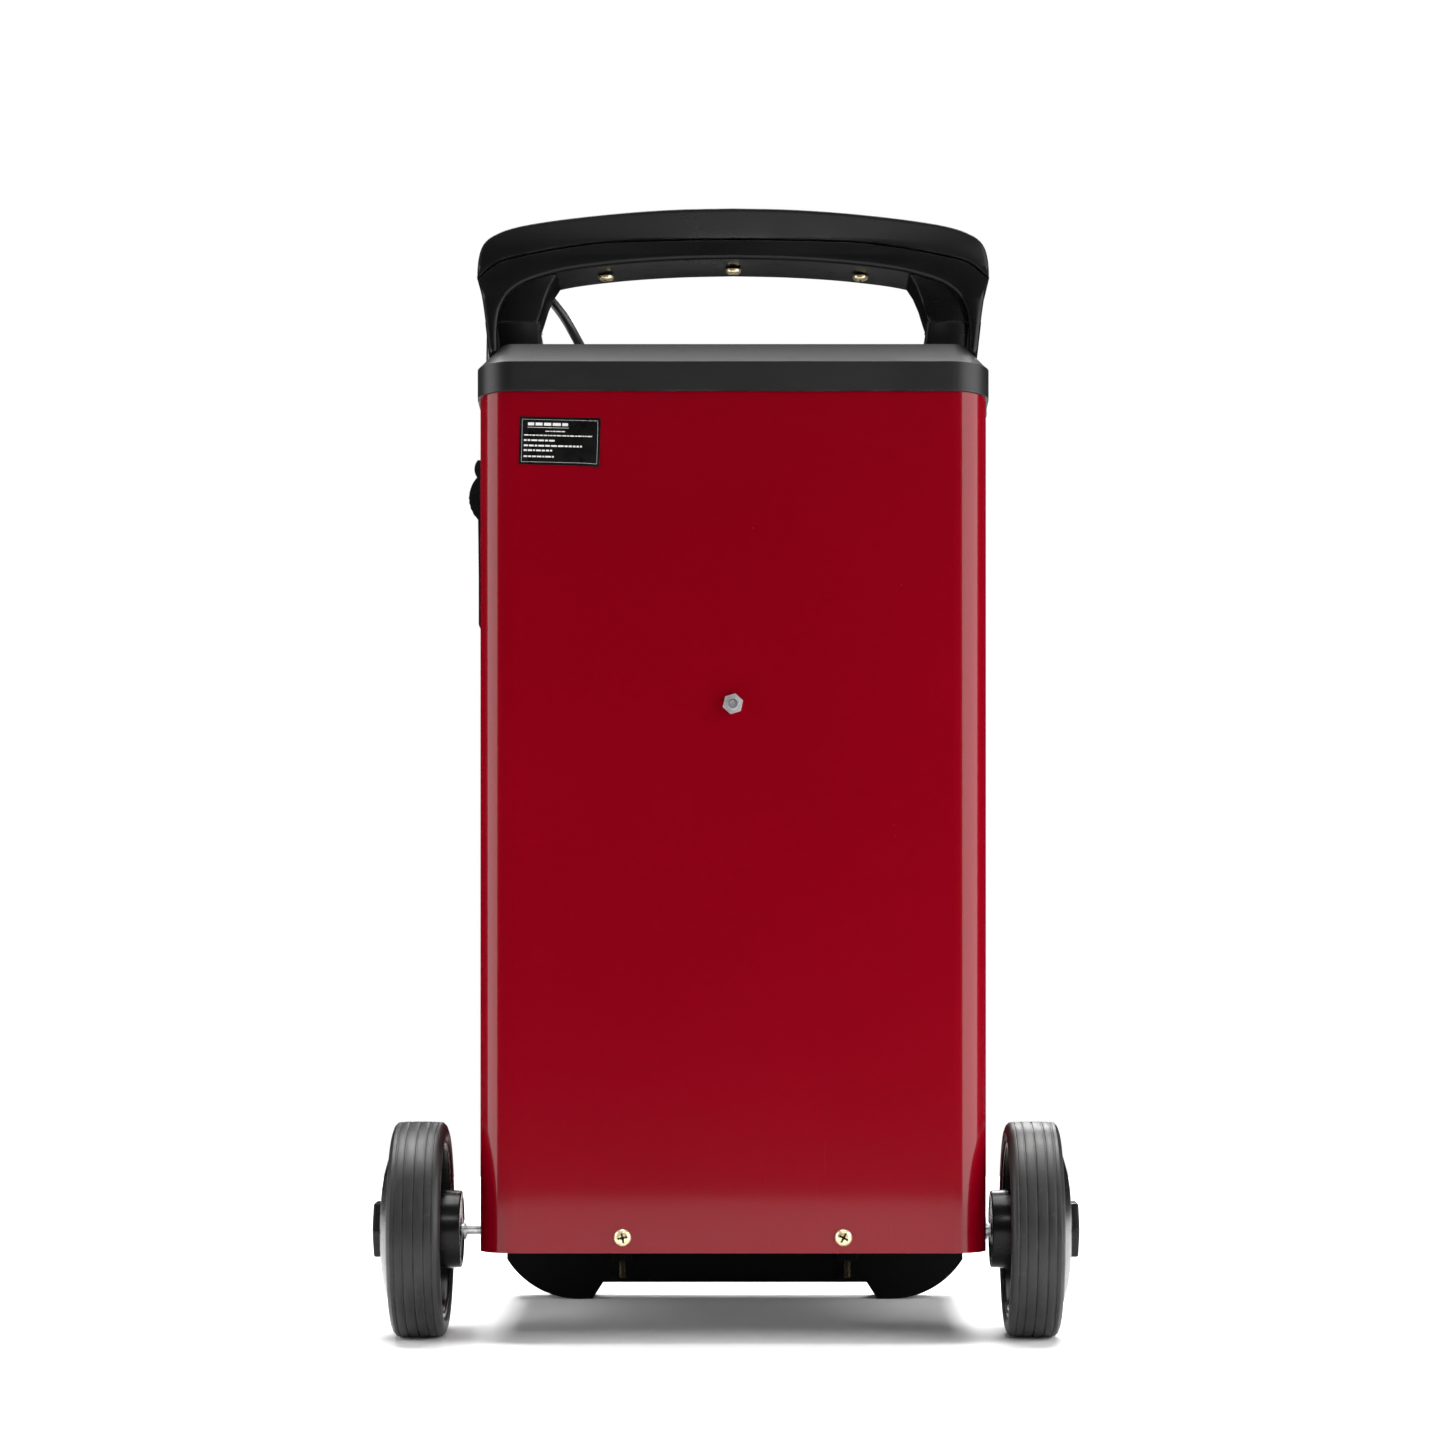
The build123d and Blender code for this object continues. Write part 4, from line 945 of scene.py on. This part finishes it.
def label_place(u, v, lift):
    """A point on the label: u to the right and v up in mm, lift off its face."""
    at = centre("rear_label")
    across, up = u / LABEL_HALF[0], v / LABEL_HALF[1]
    curl = max(0.0, across - up - 1.15)
    edge = max(0.0, across - 0.9) * 1.6
    off = 1.6 * curl ** 2 + 0.25 * edge ** 2 + 0.05 * math.sin(u * 0.45) * math.cos(v * 0.6)
    x = u * math.cos(LABEL_TILT) - v * math.sin(LABEL_TILT) - 0.25 * curl ** 2
    z = u * math.sin(LABEL_TILT) + v * math.cos(LABEL_TILT) - 0.9 * curl ** 2
    back = -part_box("rear_label")[0][1] / MM - 0.25
    return (at.x + x * MM, -(back + min(off, 0.95) + lift) * MM, at.z + z * MM)


def label_patch(bm, across, up, cells, lift=0.03):
    """Sheet over part of the label, from (low, high) across and up, in so many cells each way."""
    grid = []
    for j in range(cells[1] + 1):
        v = up[0] + (up[1] - up[0]) * j / cells[1]
        us = [across[0] + (across[1] - across[0]) * i / cells[0] for i in range(cells[0] + 1)]
        grid.append([bm.verts.new(label_place(u, v, lift)) for u in us])
    faces = []
    for one, two in zip(grid, grid[1:]):
        for i in range(cells[0]):
            faces.append(bm.faces.new((one[i], one[i + 1], two[i + 1], two[i])))
    return faces


def rear_label():
    """Thin film label with its lower right corner lifting; plain bars and lines stand for print."""
    half_w, half_h = LABEL_HALF
    bm = bmesh.new()
    faces = label_patch(bm, (-half_w, half_w), (-half_h, half_h), (44, 26), 0.0)
    made = bmesh.ops.extrude_face_region(bm, geom=faces)
    moved = [item for item in made["geom"] if isinstance(item, bmesh.types.BMVert)]
    bmesh.ops.translate(bm, verts=moved, vec=(0, 0.12 * MM, 0))
    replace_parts(put(bm, "rear_label_film", "label_film", ROOT, 40), "rear_label")
    bm = bmesh.new()
    frame_w, frame_h, line = half_w - 1.5, half_h - 1.5, 0.11
    for v in (-frame_h, frame_h - line):
        label_patch(bm, (-frame_w, frame_w), (v, v + line), (40, 1))
    for u in (-frame_w, frame_w - line):
        label_patch(bm, (u, u + line), (-frame_h, frame_h), (1, 24))
    rng = random.Random(5)
    for v, tall, start, end in LABEL_ROWS:
        u = start
        while u < end - 0.6:
            width = min(rng.uniform(0.9, 3.2) * (0.5 + 0.45 * tall), end - u)
            label_patch(bm, (u, u + width), (v + 0.12 * tall, v + 0.88 * tall), (3, 1))
            u += width + 0.28 * tall + 0.25
    label_patch(bm, (-17.8, 4.8), (7.2, 7.4), (20, 1))
    put(bm, "rear_label_print", "white_ink", ROOT, 40)


rear_label()


# --- front controls ---

PANEL_FACE, PLATE_FACE, DIAL_FACE = 137.0, 134.1, 122.0    # y in mm
SCALE_HALF = 42.0          # degrees each side of upright, as far as the needle swings
PIVOT_DROP = 22.0          # the needle's pivot below the middle of the dial
INK = 0.08                 # thickness of print
KEY_Y = 128.0              # pin that the rocker keys tilt on
CLAMP_X, CLAMP_Y, CLAMP_Z = -147.0, 105.0, 455.0           # middle of the clamp's pin


def stroke(bm, x, z, length, width, turn, face, depth=INK):
    """Thin bar lying on a face that looks along +Y; turn is in degrees from upright."""
    block(bm, (x, face + depth / 2, z), (width, depth, length), Matrix.Rotation(math.radians(turn), 4, "Y"))


def round_stroke(bm, x, z, radius, at, length, width, face, along=False):
    """Bar on a circle about (x, z), pointing out of it or lying along it."""
    a = math.radians(at)
    turn = at + (90 if along else 0)
    stroke(bm, x + radius * math.sin(a), z + radius * math.cos(a), length, width, turn, face)


def knob_detail(node, body, radius):
    """Fluted knob with a rounded finger bar and a white pointer line."""
    middle = centre(node) / MM
    low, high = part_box(node)
    tip, back = high[1] / MM, low[1] / MM
    grip = 0.72 * radius
    profile = [
        (back, 3.0), (135.2, 3.0), (135.2, radius - 0.3), (135.5, radius), (137.8, radius),
        (138.8, radius - 0.7), (139.2, radius - 1.8), (139.4, grip + 0.5), (140.2, grip),
        (tip - 6.4, grip), (tip - 5.5, grip - 0.4), (tip - 5.0, grip - 1.4), (tip - 4.9, 0.4),
    ]
    bm = lathe(profile, 144, "Y", (middle.x * MM, 0, middle.z * MM))
    for vertex in bm.verts:
        x, z = vertex.co.x / MM - middle.x, vertex.co.z / MM - middle.z
        if vertex.co.y > 139.3 * MM and math.hypot(x, z) > 0.55 * radius:
            swell = 1 - 0.045 * (0.5 + 0.5 * math.cos(20 * math.atan2(x, z)))
            vertex.co.x = (middle.x + x * swell) * MM
            vertex.co.z = (middle.z + z * swell) * MM
    turned = put(bm, node + "_grip", "black_plastic", body, 40)
    half = 4.0
    outline = []
    for k in range(24):
        a = math.tau * (k + 0.5) / 24
        z = 0.9 * radius - half if math.cos(a) > 0 else half - 0.7 * radius
        outline.append((middle.x + half * math.sin(a), middle.z + z + half * math.cos(a)))
    bm = prism(outline, 138.2, tip)
    rim = [edge for edge in bm.edges if all(v.co.y > (tip - 0.01) * MM for v in edge.verts)]
    bmesh.ops.bevel(bm, geom=rim, offset=0.9 * MM, segments=3, affect="EDGES")
    bar = put(bm, node + "_bar", "black_plastic", body, 40)
    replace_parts(join([turned, bar], node + "_detail"), node)
    line = bmesh.new()
    stroke(line, middle.x, middle.z + 0.48 * radius, 0.62 * radius, 1.2, 0, tip, 0.05)
    put(line, node + "_pointer", "white_ink", body)


def plate_print():
    """Scales round the knobs, a border and plain group lines on the control plate."""
    bm = bmesh.new()
    low, high = (Vector(corner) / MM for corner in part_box("control_plate"))
    for x in (low.x + 4, high.x - 4):
        stroke(bm, x, (low.z + high.z) / 2, high.z - low.z - 8, 0.5, 0, PLATE_FACE)
    for z in (low.z + 4, high.z - 4):
        stroke(bm, (low.x + high.x) / 2, z, high.x - low.x - 8, 0.5, 90, PLATE_FACE)
    selector, timer = centre("selector_knob") / MM, centre("timer_knob") / MM
    for at in range(-60, 61, 30):
        round_stroke(bm, selector.x, selector.z, 24.5, at, 5.0, 1.1, PLATE_FACE)
    for step in range(9):
        round_stroke(bm, selector.x, selector.z, 21.4, -60 + 15 * step, 3.0, 0.35, PLATE_FACE, along=True)
    for step in range(21):
        length, width = (4.2, 0.9) if step % 5 == 0 else (2.4, 0.5)
        round_stroke(bm, timer.x, timer.z, 19.4, 15 * step, length, width, PLATE_FACE)
    for node in ("power_rocker_frame", "boost_rocker_frame", "fuse_holder"):
        at = centre(node) / MM
        stroke(bm, at.x, at.z + 22, 20, 0.7, 90, PLATE_FACE)
        stroke(bm, at.x, at.z - 21, 12, 0.5, 90, PLATE_FACE)
    put(bm, "plate_print", "black_ink")


def meter_scale():
    """Tick marks, an arc and a red end zone on the dial."""
    black, red = bmesh.new(), bmesh.new()
    x, z = centre("meter_dial").x / MM, centre("meter_dial").z / MM - PIVOT_DROP
    for step in range(25):
        radius, length, width = (43.6, 5.4, 0.9) if step % 6 == 0 else (42.6, 3.2, 0.4)
        round_stroke(black, x, z, radius, SCALE_HALF - 2 * SCALE_HALF * step / 24, length, width, DIAL_FACE)
    for step in range(48):
        at = SCALE_HALF - 2 * SCALE_HALF * (step + 0.5) / 48
        round_stroke(black, x, z, 41.0, at, 1.35, 0.4, DIAL_FACE, along=True)
    for step in range(12):
        at = -SCALE_HALF + 21 * (step + 0.5) / 12
        round_stroke(red, x, z, 38.6, at, 1.4, 1.8, DIAL_FACE, along=True)
    stroke(black, x, z + 14, 16, 0.7, 90, DIAL_FACE)
    stroke(black, x, z + 11, 10, 0.5, 90, DIAL_FACE)
    put(black, "meter_scale", "black_ink")
    put(red, "meter_red_zone", "red_ink")


def rocker_marks(node, body):
    """A line on the upper half of the key and a ring on the lower half."""
    at = centre(node + "_frame")
    line, ring = bmesh.new(), bmesh.new()
    stroke(line, 0, 0, 4.6, 1.1, 0, 0)
    for step in range(16):
        round_stroke(ring, 0, 0, 2.3, 22.5 * step, 1.1, 0.7, 0, along=True)
    tilt = Matrix.Translation((at.x, KEY_Y * MM, at.z)) @ Matrix.Rotation(math.radians(-6), 4, "X")
    pieces = []
    for bm, name, up in ((line, "_line", 1), (ring, "_ring", -1)):
        slope = Matrix.Rotation(math.radians(-10.5 * up), 4, "X")
        bm.transform(tilt @ Matrix.Translation(Vector((0, 9.2, 5.4 * up)) * MM) @ slope)
        pieces.append(put(bm, node + name, "white_ink", body))
    join(pieces, node + "_marks")


def knurl(name, node, radius, y0, y1, count, body=ROOT):
    """Low ribs round a turned part."""
    middle = centre(node)
    bm = bmesh.new()
    for k in range(count):
        turned = Matrix.Rotation(math.tau * k / count, 4, "Y")
        size = Matrix.Diagonal((1.1 * MM, (y1 - y0) * MM, 0.6 * MM, 1))
        place = Matrix.Translation(Vector((0, (y0 + y1) / 2, radius)) * MM)
        bmesh.ops.create_cube(bm, size=1, matrix=turned @ place @ size)
    bm.transform(Matrix.Translation((middle.x, 0, middle.z)))
    bevel(put(bm, name, "black_plastic", body), 0.18 * MM)


def outlet_marks():
    """Plus and minus signs over the two battery outlets."""
    white, red = bmesh.new(), bmesh.new()
    minus, plus = centre("black_lead_gland") / MM, centre("red_lead_outlet") / MM
    stroke(white, minus.x, minus.z + 17, 6, 1.3, 90, PANEL_FACE)
    stroke(red, plus.x, plus.z + 17, 6, 1.3, 90, PANEL_FACE)
    stroke(red, plus.x, plus.z + 17, 6, 1.3, 0, PANEL_FACE)
    put(white, "minus_mark", "white_ink")
    put(red, "plus_mark", "red_ink")


def sleeve_detail():
    """Tapered sleeve with bending ribs."""
    low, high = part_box("lead_sleeve")
    middle = centre("lead_sleeve")
    y0, y1 = low[1] / MM, high[1] / MM
    profile = [(y0, 2.6), (y0, 6.0)]
    for k in range(6):
        start = y0 + 2.4 + 3.5 * k
        radius = 6.0 - 2.3 * (start - y0) / (y1 - y0)
        profile += [(start, radius), (start + 0.3, radius - 1.0), (start + 1.3, radius - 1.1),
                    (start + 1.6, radius - 0.2)]
    profile += [(y1 - 0.4, 3.7), (y1, 3.5), (y1, 2.6)]
    piece = put(lathe(profile, 64, "Y", (middle.x, 0, middle.z), closed=True), "sleeve_detail", "lead_rubber")
    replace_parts(piece, "lead_sleeve")
    return piece


def clamp_ribs():
    """Ribs across the grip of the clamp's outer half."""
    bm = bmesh.new()
    for k in range(7):
        z = 479 + 3.1 * k
        reach = 5.4 * math.sin(math.pi * (z - 475) / 25.5) ** 0.9
        block(bm, (CLAMP_X - 5.2 - reach, CLAMP_Y, z), (0.8, 15, 1.2))
    return bevel(put(bm, "clamp_grip_ribs", "clamp_insulator", "clamp_jaw"), 0.3 * MM)


def clamp_spring():
    """Three turns of wire round the clamp's pin, and a straight leg."""
    bm = bmesh.new()
    turns, around = 40, 8
    rings = []
    for k in range(3 * turns + 1):
        a = math.tau * k / turns
        ring = []
        for j in range(around):
            b = math.tau * j / around
            r = 2.5 + 0.42 * math.cos(b)
            y = CLAMP_Y + 8.9 + 0.75 * k / turns + 0.36 * math.sin(b)
            ring.append(bm.verts.new(Vector((CLAMP_X + r * math.sin(a), y, CLAMP_Z + r * math.cos(a))) * MM))
        rings.append(ring)
    skin(bm, rings)
    block(bm, (CLAMP_X + 2.3, CLAMP_Y + 9.4, CLAMP_Z + 8.5), (0.8, 0.8, 16))
    piece = put(bm, "spring_detail", "zinc_steel")
    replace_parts(piece, "clamp_spring")
    return piece


knob_detail("selector_knob", "selector", 19.0)
knob_detail("timer_knob", "timer", 15.0)
plate_print()
meter_scale()
rocker_marks("power_rocker", "power_key")
rocker_marks("boost_rocker", "boost_key")
knurl("fuse_knurl", "fuse_cap", 7.8, 138.0, 145.6, 24, "fuse")
for outlet in ("black_lead_gland", "red_lead_outlet", "mains_inlet_gland"):
    knurl(outlet + "_ribs", outlet, 9.35, 137.4, 141.4, 20)
outlet_marks()
SLEEVE_PIECE = sleeve_detail()
CLAMP_PIECES = [clamp_ribs(), clamp_spring()]


# --- floor, surroundings and lights ---

def add_floor():
    """Round sheet of paper under the charger."""
    bm = bmesh.new()
    bmesh.ops.create_circle(bm, cap_ends=True, segments=128, radius=1.15)
    mesh = bpy.data.meshes.new("floor")
    bm.to_mesh(mesh)
    bm.free()
    floor = bpy.data.objects.new("floor", mesh)
    mesh.materials.append(FLOOR_MAT)
    bpy.context.scene.collection.objects.link(floor)


def add_world():
    """Plain white to the camera; as a light it is almost black below and grey above."""
    world = bpy.data.worlds.new("studio")
    bpy.context.scene.world = world
    world.use_nodes = True
    tree = world.node_tree
    tree.nodes.clear()
    kinds = ("OutputWorld", "TexCoord", "SeparateXYZ", "ValToRGB", "LightPath", "MixShader")
    node = {kind: tree.nodes.new("ShaderNode" + kind) for kind in kinds}
    seen, room = tree.nodes.new("ShaderNodeBackground"), tree.nodes.new("ShaderNodeBackground")
    seen.inputs["Color"].default_value = (1, 1, 1, 1)
    dim, bright = node["ValToRGB"].color_ramp.elements
    dim.position, dim.color = 0.08, (0.012, 0.012, 0.012, 1)
    bright.position, bright.color = 0.75, (0.30, 0.30, 0.305, 1)
    for source, target in (
        (node["TexCoord"].outputs["Generated"], node["SeparateXYZ"].inputs[0]),
        (node["SeparateXYZ"].outputs["Z"], node["ValToRGB"].inputs[0]),
        (node["ValToRGB"].outputs[0], room.inputs["Color"]),
        (node["LightPath"].outputs["Is Camera Ray"], node["MixShader"].inputs[0]),
        (room.outputs[0], node["MixShader"].inputs[1]),
        (seen.outputs[0], node["MixShader"].inputs[2]),
        (node["MixShader"].outputs[0], node["OutputWorld"].inputs[0]),
    ):
        tree.links.new(source, target)


def add_light(name, place, target, size, power):
    """Area light at a place, aimed at a target."""
    data = bpy.data.lights.new(name, "AREA")
    data.shape = "RECTANGLE"
    data.size, data.size_y = size
    data.energy = power
    light = bpy.data.objects.new(name, data)
    light.location = place
    aim = Vector(target) - Vector(place)
    light.rotation_euler = aim.to_track_quat("-Z", "Y").to_euler()
    bpy.context.scene.collection.objects.link(light)


bpy.context.scene.view_settings.view_transform = "Standard"
add_floor()
add_world()
add_light("key", (0.10, -2.35, 1.75), (0, 0, 0.25), (0.42, 0.42), 9)
add_light("panel_left", (-1.55, -0.42, 0.62), (-0.12, -0.12, 0.42), (1.15, 1.7), 24)
add_light("panel_right", (1.45, -0.80, 0.62), (0.12, -0.12, 0.42), (1.75, 1.7), 44)
add_light("top", (0, 0.35, 2.2), (0, 0, 0.3), (1.8, 1.5), 135)
add_light("front_fill", (0.3, 2.4, 1.5), (0, 0, 0.3), (0.8, 0.8), 26)
